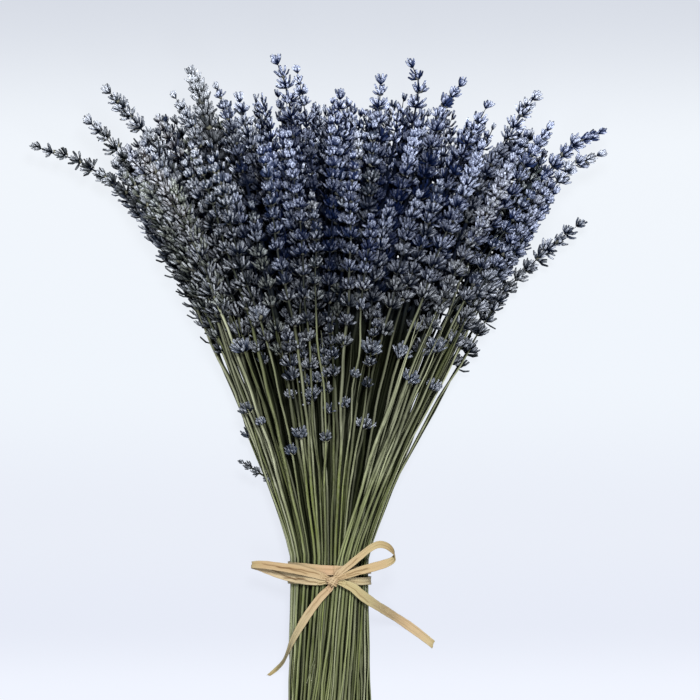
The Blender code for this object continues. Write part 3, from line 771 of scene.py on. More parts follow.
# A stem's lean from +Y in radians: a quick opening, an even spread and a droop with a power of the distance.
def fanLean(side, along):
    out = np.clip(along - bunch["fanStart"], 0, None)
    opening = bunch["opening"][0] * (1 - np.exp(-out / bunch["opening"][1]))
    spread = (bunch["spread"][0] + bunch["spread"][1] * side) * out
    droop = (bunch["droop"][0] + bunch["droop"][1] * side) * (out / bunch["reach"]) ** bunch["droop"][2]
    return side * np.radians(opening + spread + droop)


# (x, z) in the tied bundle: an ellipse that turns and flares towards the cut ends.
def bundleSection(side, rise, along):
    below = np.clip(bunch["fanStart"] - along, 0, None) / bunch["belowTie"]
    turn = bunch["twist"] * below
    flare = 1 + bunch["footFlare"] * below**2
    turnedSide = side * np.cos(turn) - rise * np.sin(turn)
    turnedRise = side * np.sin(turn) + rise * np.cos(turn)
    middle = bunch["base"] + bunch["tieHalfHeight"] - bunch["footDrop"] * below
    return bunch["tieHalfWidth"] * flare * turnedSide, middle + bunch["tieHalfHeight"] * turnedRise


# z along a stem: the round bundle turns into a dome with a flat floor.
def fanHeight(side, rise, along):
    out = np.clip(along, 0, None)
    opened = smooth(out / bunch["flatBy"])
    floor = bunch["base"] + (bunch["headFloor"] - bunch["base"]) * opened
    climbed = out - bunch["climbStart"] * (1 - np.exp(-out / bunch["climbStart"]))
    top = bunch["base"] + 2 * bunch["tieHalfHeight"] + bunch["topClimb"] * climbed
    inDome = floor + (top - floor) * (rise + np.sqrt(np.clip(1 - side**2, 0, 1))) / 2
    return (1 - opened) * bundleSection(side, rise, along)[1] + opened * inDome


# Centre lines (stem, station, xyz): the lean summed up along the stem, plus a drift that grows with a power.
def fanLines(side, rise, bend, power):
    along = stations()
    side, rise = side[:, None], rise[:, None]
    x, _ = bundleSection(side, rise, along[None, :])
    z = fanHeight(side, rise, along[None, :])
    drift = np.clip(along / bunch["reach"], 0, None)[None, :] ** np.reshape(power, (-1, 1))
    z = np.maximum(z + bend[:, 1:] * drift, np.minimum(z, bunch["headFloor"]))
    slope = np.gradient(z, bunch["step"], axis=1)
    level = np.sqrt(np.clip(1 - slope**2, bunch["levelLeast"], 1)) * bunch["step"]
    lean = fanLean(side, along[None, :])
    start = int(np.searchsorted(along, bunch["fanStart"]))
    y = np.broadcast_to(along, z.shape) + 0.0
    x[:, start:] = x[:, start : start + 1] + np.cumsum((np.sin(lean) * level)[:, start:], axis=1)
    y[:, start:] = along[start] + np.cumsum((np.cos(lean) * level)[:, start:], axis=1)
    return np.stack([x + bend[:, :1] * drift, y, z], axis=2)


# Each stem's (side, rise) in the bundle, and the block of up to four neighbours that it belongs to.
def lattice(rng):
    places, block = [], []
    second, pairs, back = bunch["rowShift"]
    for column in range(bunch["columns"]):
        for row in range(bunch["rows"]):
            shift = (second * (row % 2) + pairs * (row // 2)) % 1 - back
            jitterU, jitterV = (rng.uniform(-size, size) for size in bunch["jitter"])
            u = (column + 0.5 + shift) / bunch["columns"] * 2 - 1 + jitterU
            v = (row + 0.5) / bunch["rows"] * 2 - 1 + jitterV
            if math.hypot(u, v) <= bunch["edge"]:
                places.append((u, v))
                block.append((column // 2, row // 2))
    side, rise = np.array(places).T.copy()
    return side, rise, block


# Pushes (x, z) points off each other until they are leastApart, none of them below the heads' floor.
def spreadApart(points):
    points = points.copy()
    for _ in range(bunch["pushRounds"]):
        gap = points[:, None, :] - points[None, :, :]
        far = np.linalg.norm(gap, axis=2) + np.eye(len(points))
        push = np.clip(bunch["leastApart"] - far, 0, None) / 2 * (1 - np.eye(len(points)))
        points += (gap / far[..., None] * push[..., None]).sum(axis=1) * bunch["pushShare"]
        points[:, 1] = np.maximum(points[:, 1], bunch["headFloor"])
    return points


# The stems whose bare part passes too near another's.
def crowded(lines, bareTo):
    along = stations()
    found = set()
    bare = (along[None, :] > bunch["bareFrom"]) & (along[None, :] < bareTo[:, None])
    station, most = bunch["lookAside"]
    for i in range(len(lines)):
        spots = lines[i][bare[i]][::2]
        for j in range(i + 1, len(lines)):
            if abs(lines[i, station, 0] - lines[j, station, 0]) > most:
                continue
            far = np.linalg.norm(spots[:, None, :] - lines[j][bare[j]][None, :, :], axis=2)
            if far.min() < bunch["stemsApart"]:
                found.update((i, j))
    return found


# The stems higher in the bundle than this share of its height there.
def isAbove(stems, level):
    return stems["rise"] > level * np.sqrt(1 - stems["side"] ** 2)


# Every stem of the frame: its centre line, place in the bundle, length, head length and block.
def growBunch():
    rng = np.random.default_rng(bunch["seed"])
    side, rise, block = lattice(rng)
    along = stations()
    grow = along / bunch["reach"]
    power = np.full(len(side), bunch["driftPower"])
    plain = fanLines(side, rise, np.zeros((len(side), 2)), power)
    full = int(np.searchsorted(along, bunch["wanderAt"]))
    ends = plain[:, full, [0, 2]]
    moved = ends + rng.uniform(-bunch["wander"], bunch["wander"], ends.shape)
    bend = (spreadApart(moved) - ends) / grow[full] ** bunch["driftPower"]
    length = rng.uniform(*bunch["bulkLengths"], len(side))
    made = {"side": side, "rise": rise, "block": block, "length": length,
            "head": np.full(len(side), bunch["headLength"])}
    front = isAbove(made, bunch["frontRise"])
    length[front] = rng.uniform(*bunch["frontLengths"], int(front.sum()))
    tipOrder = []
    for tips, headLength in ((crestTips, bunch["headLength"]), (lowTips, bunch["lowHeadLength"])):
        for tipX, tipY, tipSide, tipRise in tips:
            far = np.hypot((side - tipSide) * bunch["sideCounts"], rise - tipRise)
            far[tipOrder] = np.inf
            i = int(np.argmin(far))
            tipOrder.append(i)
            here = min(int(np.searchsorted(plain[i, :, 1], tipY)), len(along) - 3)
            length[i], made["head"][i], power[i] = along[here], headLength, bunch["tipDriftPower"]
            bend[i, 0] = (tipX - plain[i, here, 0]) / grow[here] ** bunch["tipDriftPower"]
            bend[i, 1] *= bunch["setRise"]
    for _ in range(bunch["partRounds"]):
        lines = fanLines(side, rise, bend, power)
        touching = crowded(lines, length - made["head"])
        if not touching:
            break
        for i in touching:
            bend[i] *= bunch["partBy"][i in tipOrder]
    return made | {"bend": bend, "lines": lines, "crest": np.isin(np.arange(len(side)), tipOrder),
                   "tipOrder": tipOrder}


grown = growBunch()
blocks = sorted(set(grown["block"]))
nodeOf = {key: f"lavender_sprigs_{number:02d}" for number, key in enumerate(blocks, 1)}
crestOnes, lowOnes = grown["tipOrder"][:len(crestTips)], grown["tipOrder"][len(crestTips):]


# The sprigs of one block.
def inBlock(stems, key):
    return [i for i, owner in enumerate(stems["block"]) if owner == key]


# How far the sprigs' ends lie outside their own nodes' boxes, at worst.
def layoutError():
    worst = 0.0
    along = stations()
    for key in blocks:
        low, high = (np.array(corner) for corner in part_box(nodeOf[key]))
        for i in inBlock(grown, key):
            tip = [np.interp(grown["length"][i], along, grown["lines"][i, :, k]) for k in range(3)]
            worst = max(worst, float(np.max(low - tip)), float(np.max(tip - high)))
    return worst


print("layout against the frame, worst mm:", round(layoutError() * 1000, 2))

# More stems between those of the frame

filling = {
    "apart": 0.00150,  # least distance between two stems under the tie
    "tries": 7000,
    "edge": 0.975,
    "topmost": 0.86,
    "aside": 0.70,  # those further out to a side than this stand closer
    "asideApart": 0.00130,
    "near": 3,  # how many neighbours an added stem takes its way from
    "stray": (0.009, 0.0045),  # how far it strays from their way, in x and in z
    "frontLengths": (0.205, 0.285),
    "outer": (0.62, 0.90),  # from here outwards, this share of the added stems carries a head
    "withHead": 0.65,  # and this share of the others
    "headLengths": (0.08, 0.1),
    "headlessBy": 0.07,  # how much shorter those without a head are
    "bareAbove": 0.46,  # those above this share of the bundle's half height are bare and short
    "bareLengths": (0.138, 0.172),
    "bareStray": 0.016,
    "barePower": 1.2,
    # (side, how far the outermost lean out in the end, with what power of the length)
    "outermost": 0.74,
    "lean": ((-1, -0.0125, 3.5), (1, 0.0030, 0.8)),
    "seed": 23,
}


# Throws places into the bundle at random and keeps those that stay clear of all others.
def fillBetween(cfg):
    rng = np.random.default_rng(cfg["seed"])
    size = np.array([bunch["tieHalfWidth"], bunch["tieHalfHeight"]])
    spots = [np.array(p) * size for p in zip(grown["side"], grown["rise"])]
    known = len(spots)
    for _ in range(cfg["tries"]):
        throw = rng.uniform(-1, 1, 2)
        aside = abs(throw[0]) > cfg["aside"]
        if np.hypot(*throw) > cfg["edge"] or throw[1] > cfg["topmost"] * math.sqrt(1 - throw[0] ** 2):
            continue
        place = throw * size
        if np.linalg.norm(np.array(spots) - place, axis=1).min() > cfg["asideApart" if aside else "apart"]:
            spots.append(place)
    side, rise = (np.array(spots[known:]) / size).T
    made = {"side": side, "rise": rise, "crest": np.zeros(len(side), bool)}
    n = len(side)
    far = np.hypot(side[:, None] - grown["side"], rise[:, None] - grown["rise"])
    near = np.argsort(far, axis=1)[:, : cfg["near"]]
    bend = (grown["bend"][near] * ~grown["crest"][near][..., None]).mean(axis=1)
    bend = bend + rng.normal(0, 1, bend.shape) * np.array(cfg["stray"])
    lengths = [rng.uniform(*span, n) for span in (cfg["frontLengths"], bunch["bulkLengths"])]
    length = np.where(isAbove(made, bunch["frontRise"]), *lengths)
    bare = isAbove(made, cfg["bareAbove"]) & (np.abs(side) < cfg["aside"])
    chance = np.where(np.hypot(side, rise) > cfg["outer"][0], cfg["outer"][1], cfg["withHead"])
    hasHead = (rng.uniform(0, 1, n) < chance) & ~bare
    made["head"] = np.where(hasHead, rng.uniform(*cfg["headLengths"], n), 0.0)
    length = np.where(hasHead, length, length - cfg["headlessBy"])
    made["length"] = np.where(bare, rng.uniform(*cfg["bareLengths"], n), length)
    power = np.where(bare, cfg["barePower"], float(bunch["driftPower"]))
    bend[bare, 0] = rng.normal(0, cfg["bareStray"], int(bare.sum()))
    for sign, lean, grows in cfg["lean"]:
        outermost = side * sign > cfg["outermost"]
        bend[outermost, 0] += lean
        power[outermost] = grows
    made["block"] = [grown["block"][k[0]] for k in near]
    return made | {"lines": fanLines(side, rise, bend, power)}


# Some bare stems that cross over the others towards the right, then two more low sprigs
crossing = {
    "side": (0.16, 0.25, 0.33, 0.41, 0.50, 0.58, 0.64, -0.25, -0.11),
    "rise": (0.93, 0.90, 0.86, 0.84, 0.80, 0.75, 0.70, 0.93, 0.96),
    "length": (0.150, 0.160, 0.150, 0.165, 0.155, 0.162, 0.152, 0.152, 0.142),
    "lean": (0.084, 0.066, 0.070, 0.054, 0.056, 0.040, 0.044, 0.004, 0.012),
    "head": (0.0, 0.0, 0.0, 0.0, 0.0, 0.0, 0.0, 0.075, 0.062),
    "sink": -0.006,
    "power": 1.0,
    # a short sprig at the left side and some splinters: (side, rise, at, head length, from, to)
    "shorts": (
        (-0.99, 0.10, 0.052, 0.018, (-0.0365, 0.056, 0.020), (-0.0550, 0.069, 0.023)),
        (-0.50, 0.85, -0.070, 0.0, (-0.0135, -0.0665, 0.0352), (-0.0075, -0.0490, 0.0386)),
        (-0.45, 0.88, -0.068, 0.0, (-0.0115, -0.0640, 0.0360), (-0.0085, -0.0525, 0.0392)),
    ),
    "hue": 0.66,
    "tone": 0.55,
    "splinterThick": 0.34,
    "splinterTone": 1.0,
}


# The crossing stems lean evenly along their length, and the short ones run straight from place to place.
def crossOver(cfg):
    made = {key: np.array(cfg[key]) for key in ("side", "rise", "length", "head")}
    count = len(made["side"])
    bend = np.stack([cfg["lean"], np.full(count, cfg["sink"])], axis=1)
    made["lines"] = fanLines(made["side"], made["rise"], bend, np.full(count, cfg["power"]))
    made["crest"] = made["head"] > 0
    made["from"] = np.full(count, -bunch["belowTie"])
    for side, rise, at, head, low, high in cfg["shorts"]:
        low, high = np.array(low), np.array(high)
        long = np.linalg.norm(high - low)
        line = low + (high - low) * ((stations() - at) / long)[:, None]
        own = {"side": side, "rise": rise, "length": at + long, "head": head, "lines": line,
               "crest": True, "from": at}
        made = {key: np.concatenate([made[key], np.array(own[key])[None]]) for key in made}
    far = np.hypot(grown["side"] - made["side"][:, None], grown["rise"] - made["rise"][:, None])
    made["block"] = [grown["block"][k] for k in np.argmin(far, axis=1)]
    return made


added = fillBetween(filling)
crossed = crossOver(crossing)
every = {key: np.concatenate([grown[key], added[key], crossed[key]])
         for key in ("side", "rise", "length", "head", "lines", "crest")}
every["block"] = grown["block"] + added["block"] + crossed["block"]
count = len(every["side"])
plainCount = count - len(crossed["side"])  # the stems before the crossing ones
every["from"] = np.append(np.full(plainCount, -bunch["belowTie"]), crossed["from"])
lowSprigs = lowOnes + [plainCount + k for k, head in enumerate(crossing["head"]) if head > 0]

edges = {
    # The upper edge of the heads' mass, (x, y): only the sprigs with set tips stand out of it
    "skyline": ((-0.153, 0.226), (-0.132, 0.246), (-0.120, 0.259), (-0.108, 0.270), (-0.078, 0.290),
                (-0.066, 0.280), (-0.036, 0.294), (-0.006, 0.281), (0.012, 0.287), (0.024, 0.282),
                (0.058, 0.291), (0.072, 0.283), (0.096, 0.276), (0.120, 0.271), (0.131, 0.264),
                (0.136, 0.244), (0.138, 0.222), (0.140, 0.180)),
    # The right edge of the mass, (y, x)
    "flank": ((0.185, 0.109), (0.199, 0.117), (0.206, 0.121), (0.220, 0.129), (0.232, 0.138), (0.250, 0.146)),
    "uneven": 0.004,
    "rightmost": 0.72,  # from here outwards the sprigs grow to full length
    "fullLength": (0.30, 3),  # and how much more uneven they are
    "rounds": 12,
    "cutShare": (1 / 3, 0.7),  # how much of what is too high and too far right goes in each round
    "flankUneven": 0.5,
    "leastHead": 0.06,
    # heads on top reach down to about the same line
    "topFrom": 0.48,
    "footFrom": (0.132, 0.162),
    "footCurve": 0.020,  # how much further from the tie it lies at the sides
    "topHeads": (0.075, 0.135),
    "evenFrom": 0.05,
}


# Lets the right side's sprigs grow to full length, and shortens those that reach out of the edges.
def cutToEdges(cfg):
    rng = np.random.default_rng(filling["seed"] + 1)
    along = stations()
    ends, heights = np.array(cfg["skyline"]).T
    rows, widths = np.array(cfg["flank"]).T
    spare = rng.uniform(-cfg["uneven"], cfg["uneven"], count)
    length, head = every["length"], every["head"]
    rightmost = (every["side"] > cfg["rightmost"]) & ~every["crest"] & (head > 0)
    full, rough = cfg["fullLength"]
    length[:] = np.where(rightmost, full + rough * spare, length)
    high, far = cfg["cutShare"]
    for i in np.nonzero(~every["crest"])[0]:
        for _ in range(cfg["rounds"]):
            x, y = (np.interp(length[i], along, every["lines"][i, :, axis]) for axis in (0, 1))
            length[i] -= max(0.0, y + spare[i] - np.interp(x, ends, heights)) * high
            aside = max(0.0, x + cfg["flankUneven"] * spare[i] - np.interp(y, rows, widths)) * far
            length[i] -= aside
            head[i] = max(head[i] - aside, min(head[i], cfg["leastHead"]))


# Lets the heads on top reach down to about the same distance from the tie.
def evenHeads(cfg):
    rng = np.random.default_rng(filling["seed"] + 2)
    foot = rng.uniform(*cfg["footFrom"], count) + cfg["footCurve"] * every["side"] ** 2
    top = isAbove(every, cfg["topFrom"]) & ~every["crest"] & (every["head"] > cfg["evenFrom"])
    every["head"] = np.where(top, np.clip(every["length"] - foot, *cfg["topHeads"]), every["head"])


cutToEdges(edges)
evenHeads(edges)
print("stems:", count, "with heads:", int((every["head"] > 0).sum()))

exposure = {
    "outer": 0.68,  # sprigs further out than this share of the bundle are seen from the sides or from below
    # painted shade: how dark the stems, the tied stems and the heads are painted deeper in the bundle, from
    # where inwards and over what share of it
    "stem": (0.977, 0.98, -0.25),
    "tied": (0.962, 0.97, -0.19),
    "head": (1, 0.96, -0.36),
}
radius = np.hypot(every["side"], every["rise"])
# 2 on top, 1 at the other sides, 0 inside
shown = np.where(radius > exposure["outer"], 1, 0)
shown[isAbove(every, edges["topFrom"]) | every["crest"]] = 2
formOf = np.array(["hidden", "plain", "fine"])[shown]
# painted shade, darker deeper in the bundle
stemShade, tiedShade, headShade = (most * ramp(radius, span) for most, *span in (
    exposure[part] for part in ("stem", "tied", "head")))

# Stems: square with chamfered edges, grooved and streaked along their length
stem = {
    "halfAtTie": 0.00078,
    "halfAtHead": 0.00086,
    "halfAtTip": 0.00026,
    "finalHalf": 0.5,  # half width of the last ring and of the first, as shares
    "firstHalf": 0.93,
    "innerSwell": 1.6,  # how much thicker the stems inside the bunch get above the tie
    "hiddenSwell": 2.6,  # and those among the hidden heads
    "swells": ((0.01, 0.06), (-0.012, -0.03), 0.02),  # from the tie, up to the tip, and among the heads
    "bumps": (0.05, 190),  # small waves of the thickness
    "round": 1.12,  # makes up for the corners
    "chamfer": 17,  # degrees from an edge to each corner beside it
    "outer": 0.72,  # from here outwards stems are made in full detail
    "spacing": 0.0105,
    "innerSpacing": 0.020,
    "tipDown": 0.0015,
    "tipRing": 0.001,
    "cutRing": 0.0004,
    "endDepth": 0.0006,  # how hollow the cut is, and how far the tip stands out
    "spreadCuts": 0.618,  # gives neighbours different lengths
    "leastHead": 0.05,  # a head's length counts as this at least where the stem's shape follows it
    "headClear": 0.005,
    "headFrom": 0.06,
    "taper": 0.01,
    "splinterTaper": 0.001,
    "wobble": 0.0017,
    "waves": ((0.16, 1.0), (0.075, 0.5), (0.036, 0.22)),  # length and size
    "waveLengths": (0.8, 1.25),
    "leastWave": 0.3,
    "wobbleGrows": ((0.012, 0.07), (-0.012, -0.06), 0.8),  # above the tie, below it, and how much there
    "thick": (0.70, 1.28),
    "twist": (-4, 4),
    "withNode": 0.4,  # share of the outer stems with a leaf scar
    "nodeAt": (-0.08, 0.12),
    "nodeSwell": 0.45,
    "nodeWidth": 0.0011,
    "nodeRings": (-0.0022, -0.0008, 0.0008, 0.0022),
    "nodeClear": (0.01, 0.02),
    # painted shade: dimmest darkens whole stems at random as if they lay deeper, outWay and faceDark darken
    # the faces that look into the bundle, tiedTo sets how far above the tie the tied stems' shade reaches,
    # and headDark darkens the stems among the calyces
    "dimmest": 0.52,  # how dark the darkest stems are
    "dimPower": 1.4,
    "outWay": (0.7, 0.35),  # how the way out of the bunch leans to the side and upwards
    "tiedTo": (0.015, 0.07),
    "faceDark": (1.0, 0.66, 0.16),  # a face's cosine where it starts to darken, over how much, less when tied
    "headDark": (0.78, 0.02),  # among the calyces, and over what length
    "leastHeadDark": 0.02,
    "above": (0.03, 0.08),  # above this the stems are paler, greyer and a little darker
    "aboveTone": 0.20,
    "aboveHue": 0.6,
    "aboveDark": 0.14,
    "tableGap": (0.0004, 0.0006, 0.0005),  # least height, how much more under the tie, and the easing
    "tiedHalf": 0.009,
    "roughness": 0.75,
    "specular": 0.04,
    "grain": {"Across": 5.0, "Along": 26.0},
    "grainSeeds": 40.0,
    "mottle": 60.0,
    "bump": (0.5, 0.0002),
    "shadeTurns": (0.13, 0.19),  # y from which the shade is that of the heads
    "colours": {
        "sage": (0.152, 0.180, 0.066),
        "grey": (0.450, 0.474, 0.340),
        "olive": (0.184, 0.224, 0.058),
        "brown": (0.15, 0.120, 0.065),
        "deep": (0.026, 0.034, 0.009),
        "pith": (0.50, 0.51, 0.35),
        "stemShade": (0.0010, 0.0019, 0.0002),
        "headShade": (0.0006, 0.0020, 0.0085),
    },
    "layers": (("tone", "grey", 1, 0.15, 0.95), ("hue", "olive", 1, 0.45, 0.8),
               ("hue", "brown", 1, 0.94, 0.98), ("Broad", "deep", 0.72), ("Patches", "olive", 0.22),
               ("Fine", "pith", 0.3), ("dark", "shade", 0.996), ("cut", "pith", 1)),
    "seed": 31,
}


# Adds each stem's own slow waves in x and z, which grow above the tie.
def wobbled(lines, cfg):
    rng = np.random.default_rng(cfg["seed"])
    along = stations()
    above, below, less = cfg["wobbleGrows"]
    grow = ramp(along, above) + less * ramp(along, below)
    moved = lines.copy()
    for axis in (0, 2):
        wave = np.zeros((count, len(along)))
        for pitch, size in cfg["waves"]:
            own = pitch * rng.uniform(*cfg["waveLengths"], (count, 1))
            phase = rng.uniform(0, 2 * math.pi, (count, 1))
            size = size * rng.uniform(cfg["leastWave"], 1, (count, 1))
            wave += size * np.sin(2 * math.pi * along / own + phase)
        moved[:, :, axis] += cfg["wobble"] * grow * wave
    return moved


every["lines"] = wobbled(every["lines"], stem)

# Sprigs that bend: (which tip, way its end is moved in x, ways the part below is moved in x and y)
hooks = {
    "bends": ((0, 0.0015, 0.0, 0.006), (2, 0.0005, 0.0, 0.0), (7, -0.003, 0.0, 0.0),
              (11, -0.003, 0.007, 0.0), (12, 0.006, 0.0, 0.0), (14, 0.004, 0.0, 0.0),
              (16, 0.003, -0.003, 0.004), (17, 0.0, -0.004, 0.004)),
    "endRun": 0.020,
    "lowRun": 0.060,
}


def bendSprigs(cfg):
    for order, end, lowX, lowY in cfg["bends"]:
        i = crestOnes[order]
        down = every["length"][i] - stations()
        below = ramp(down, (2 * cfg["lowRun"], -cfg["lowRun"])) * smooth(down / cfg["endRun"])
        every["lines"][i, :, 0] += end * smooth(1 - down / cfg["endRun"]) + lowX * below
        every["lines"][i, :, 1] += lowY * below


bendSprigs(hooks)
firstStation = stations()[0]


# Points, directions and the two square directions on the stems' centre lines, at distances along them.
def sampleLine(which, at):
    lines = every["lines"]
    last = lines.shape[1] - 1
    slot = np.clip((at - firstStation) / bunch["step"], 0, last)
    k = np.minimum(slot.astype(int), last - 1)
    a, b = lines[which, k], lines[which, k + 1]
    direction = unit(lines[which, np.minimum(k + 3, last)] - lines[which, np.maximum(k - 2, 0)])
    across = unit(np.cross(direction, [0.0, 0.0, 1.0]))
    return a + (b - a) * (slot - k)[..., None], direction, across, np.cross(across, direction)


# Presses what would lie below the table, or in the wraps under the tie, onto it
def aboveTable(points):
    least, more, soft = stem["tableGap"]
    tied = smooth(1 - np.abs(points[..., 1]) / stem["tiedHalf"])
    points[..., 2] = pressed(points[..., 2], least + more * tied, soft)
    return points


# Each stem's own thickness, turn, twist, tone and hue, and where its leaf scar sits
def stemTable(cfg):
    rng = np.random.default_rng(cfg["seed"] + 1)
    own = {"thick": rng.uniform(*cfg["thick"], count), "turn": rng.uniform(0, 2 * math.pi, count),
           "twist": rng.uniform(*cfg["twist"], count), "tone": rng.uniform(0, 1, count),
           "hue": rng.uniform(0, 1, count)}
    hasNode = rng.uniform(0, 1, count) < cfg["withNode"]
    own["node"] = np.where(hasNode, rng.uniform(*cfg["nodeAt"], count), np.inf)
    own["dim"] = cfg["dimmest"] * rng.uniform(0, 1, count) ** cfg["dimPower"]
    crossers = slice(plainCount, plainCount + len(crossing["side"]))
    splinters = slice(1 - len(crossing["shorts"]), None)
    own["hue"][crossers], own["tone"][crossers] = crossing["hue"], crossing["tone"]
    own["thick"][splinters], own["tone"][splinters] = crossing["splinterThick"], crossing["splinterTone"]
    return own


stemOwn = stemTable(stem)


# One square stem with chamfered edges: rings of eight points on the outer stems, of four inside the bunch.
# A face is painted dark, as shade, where it looks into the bundle: 1 - smooth of the cosine between its side
# and the way out. Painted shade also darkens the stems deep in the bundle, at the tie, among the calyces and
# some at random
def stemSkin(i, cfg):
    own = {key: values[i] for key, values in stemOwn.items()}
    outer = bool(radius[i] > cfg["outer"] or shown[i] == 2)
    edgesAt = [45 - cfg["chamfer"], 45 + cfg["chamfer"]] if outer else [45]
    angles = np.radians(np.concatenate([np.array(edgesAt) + 90 * k for k in range(4)]))
    spacing = cfg["spacing"] if outer else cfg["innerSpacing"]
    head, node = every["head"][i], own["node"]
    top = every["length"][i] - cfg["tipDown"]
    low = every["from"][i] + bunch["cutUneven"] * (i * cfg["spreadCuts"] % 1)
    inner = np.arange(low + spacing, top - spacing / 2, spacing)
    if outer and low + cfg["nodeClear"][0] < node < top - cfg["nodeClear"][1]:
        inner = np.sort(np.append(inner, node + np.array(cfg["nodeRings"])))
    at = np.concatenate([[low, low + cfg["cutRing"]], inner, [top - cfg["tipRing"], top]])
    centre, direction, across, up = sampleLine(np.full(len(at), i), at)
    headStart = max(top - max(head, cfg["leastHead"]), low + cfg["headClear"])
    marks = [low, headStart, top - cfg["splinterTaper"], top]
    if low < 0:
        marks = [0, max(headStart, cfg["headFrom"]), top - cfg["taper"], top]
    half = np.interp(at, marks, [cfg["halfAtTie"], cfg["halfAtHead"], cfg["halfAtTip"],
                                 cfg["halfAtTip"] * cfg["finalHalf"]])
    if not outer:
        fromTie, toTip, overHeads = cfg["swells"]
        wide = cfg["innerSwell"] + (cfg["hiddenSwell"] - cfg["innerSwell"]) * ramp(at, (headStart, overHeads))
        half = half * (1 + (wide - 1) * ramp(at, fromTie) * ramp(at, (top + toTip[0], toTip[1])))
    half = half * own["thick"] * (1 + cfg["bumps"][0] * np.sin(at * cfg["bumps"][1] + own["turn"]))
    half *= 1 + cfg["nodeSwell"] * np.exp(-(((at - node) / cfg["nodeWidth"]) ** 2))
    half[0] *= cfg["firstHalf"]
    a = angles + (own["turn"] + own["twist"] * at)[:, None]
    arm = np.cos(a)[..., None] * across[:, None] + np.sin(a)[..., None] * up[:, None]
    ring = aboveTable(centre[:, None] + arm * half[:, None, None] * cfg["round"])
    ends = [centre[k] + direction[k] * cfg["endDepth"] for k in (0, -1)]
    way = unit(np.array([cfg["outWay"][0] * every["side"][i], 0.0, every["rise"][i] + cfg["outWay"][1]]))
    facing = (arm * way).sum(axis=2)
    tied = 1 - ramp(at, cfg["tiedTo"])[:, None]
    shade = stemShade[i] + (tiedShade[i] - stemShade[i]) * tied
    start, over, less = cfg["faceDark"]
    inHead = ramp(at, (top - max(head, cfg["leastHeadDark"]), cfg["headDark"][1]))[:, None] * (head > 0)
    above = ramp(at, cfg["above"])[:, None]
    # light is what the painted shade leaves
    light = (1 - shade) * (1 - smooth((start - facing) / (over - less * tied)))
    light = light * (1 - cfg["headDark"][0] * inHead) * (1 - own["dim"]) * (1 - cfg["aboveDark"] * above)
    look = np.zeros((*facing.shape, 4))
    look[..., 0] = own["tone"] + cfg["aboveTone"] * above
    look[..., 1] = own["hue"] * (1 - inHead) * (1 - cfg["aboveHue"] * above)
    look[..., 3] = 1 - light
    look[0, :, 2:] = (1.0, 0.0)
    return tubeSkin(ring, ends, at, look, flat=True)


# look is (tone, hue, cut, dark), where dark is mostly painted shade. Streaks run along the stem, and the cut
# end shows pale pith
def stemMaterial(cfg):
    material, tree, shader = startMaterial("driedStem", cfg["roughness"], cfg["specular"])
    masks = lookParts(tree, ("tone", "hue", "cut", "dark"))
    masks |= useGroup(tree, fibres, Seed=times(tree, masks["tone"], cfg["grainSeeds"]), **cfg["grain"])
    masks |= useGroup(tree, mottle, Scale=cfg["mottle"])
    among = rangeNode(tree, partsOf(tree, objectPlace(tree))[1], *cfg["shadeTurns"])
    hue = cfg["colours"]
    hue = hue | {"shade": mixColour(tree, among, hue["stemShade"], hue["headShade"])}
    base = layered(tree, "sage", cfg["layers"], masks, hue)
    finishMaterial(tree, shader, base, masks["Fine"], *cfg["bump"])
    return material


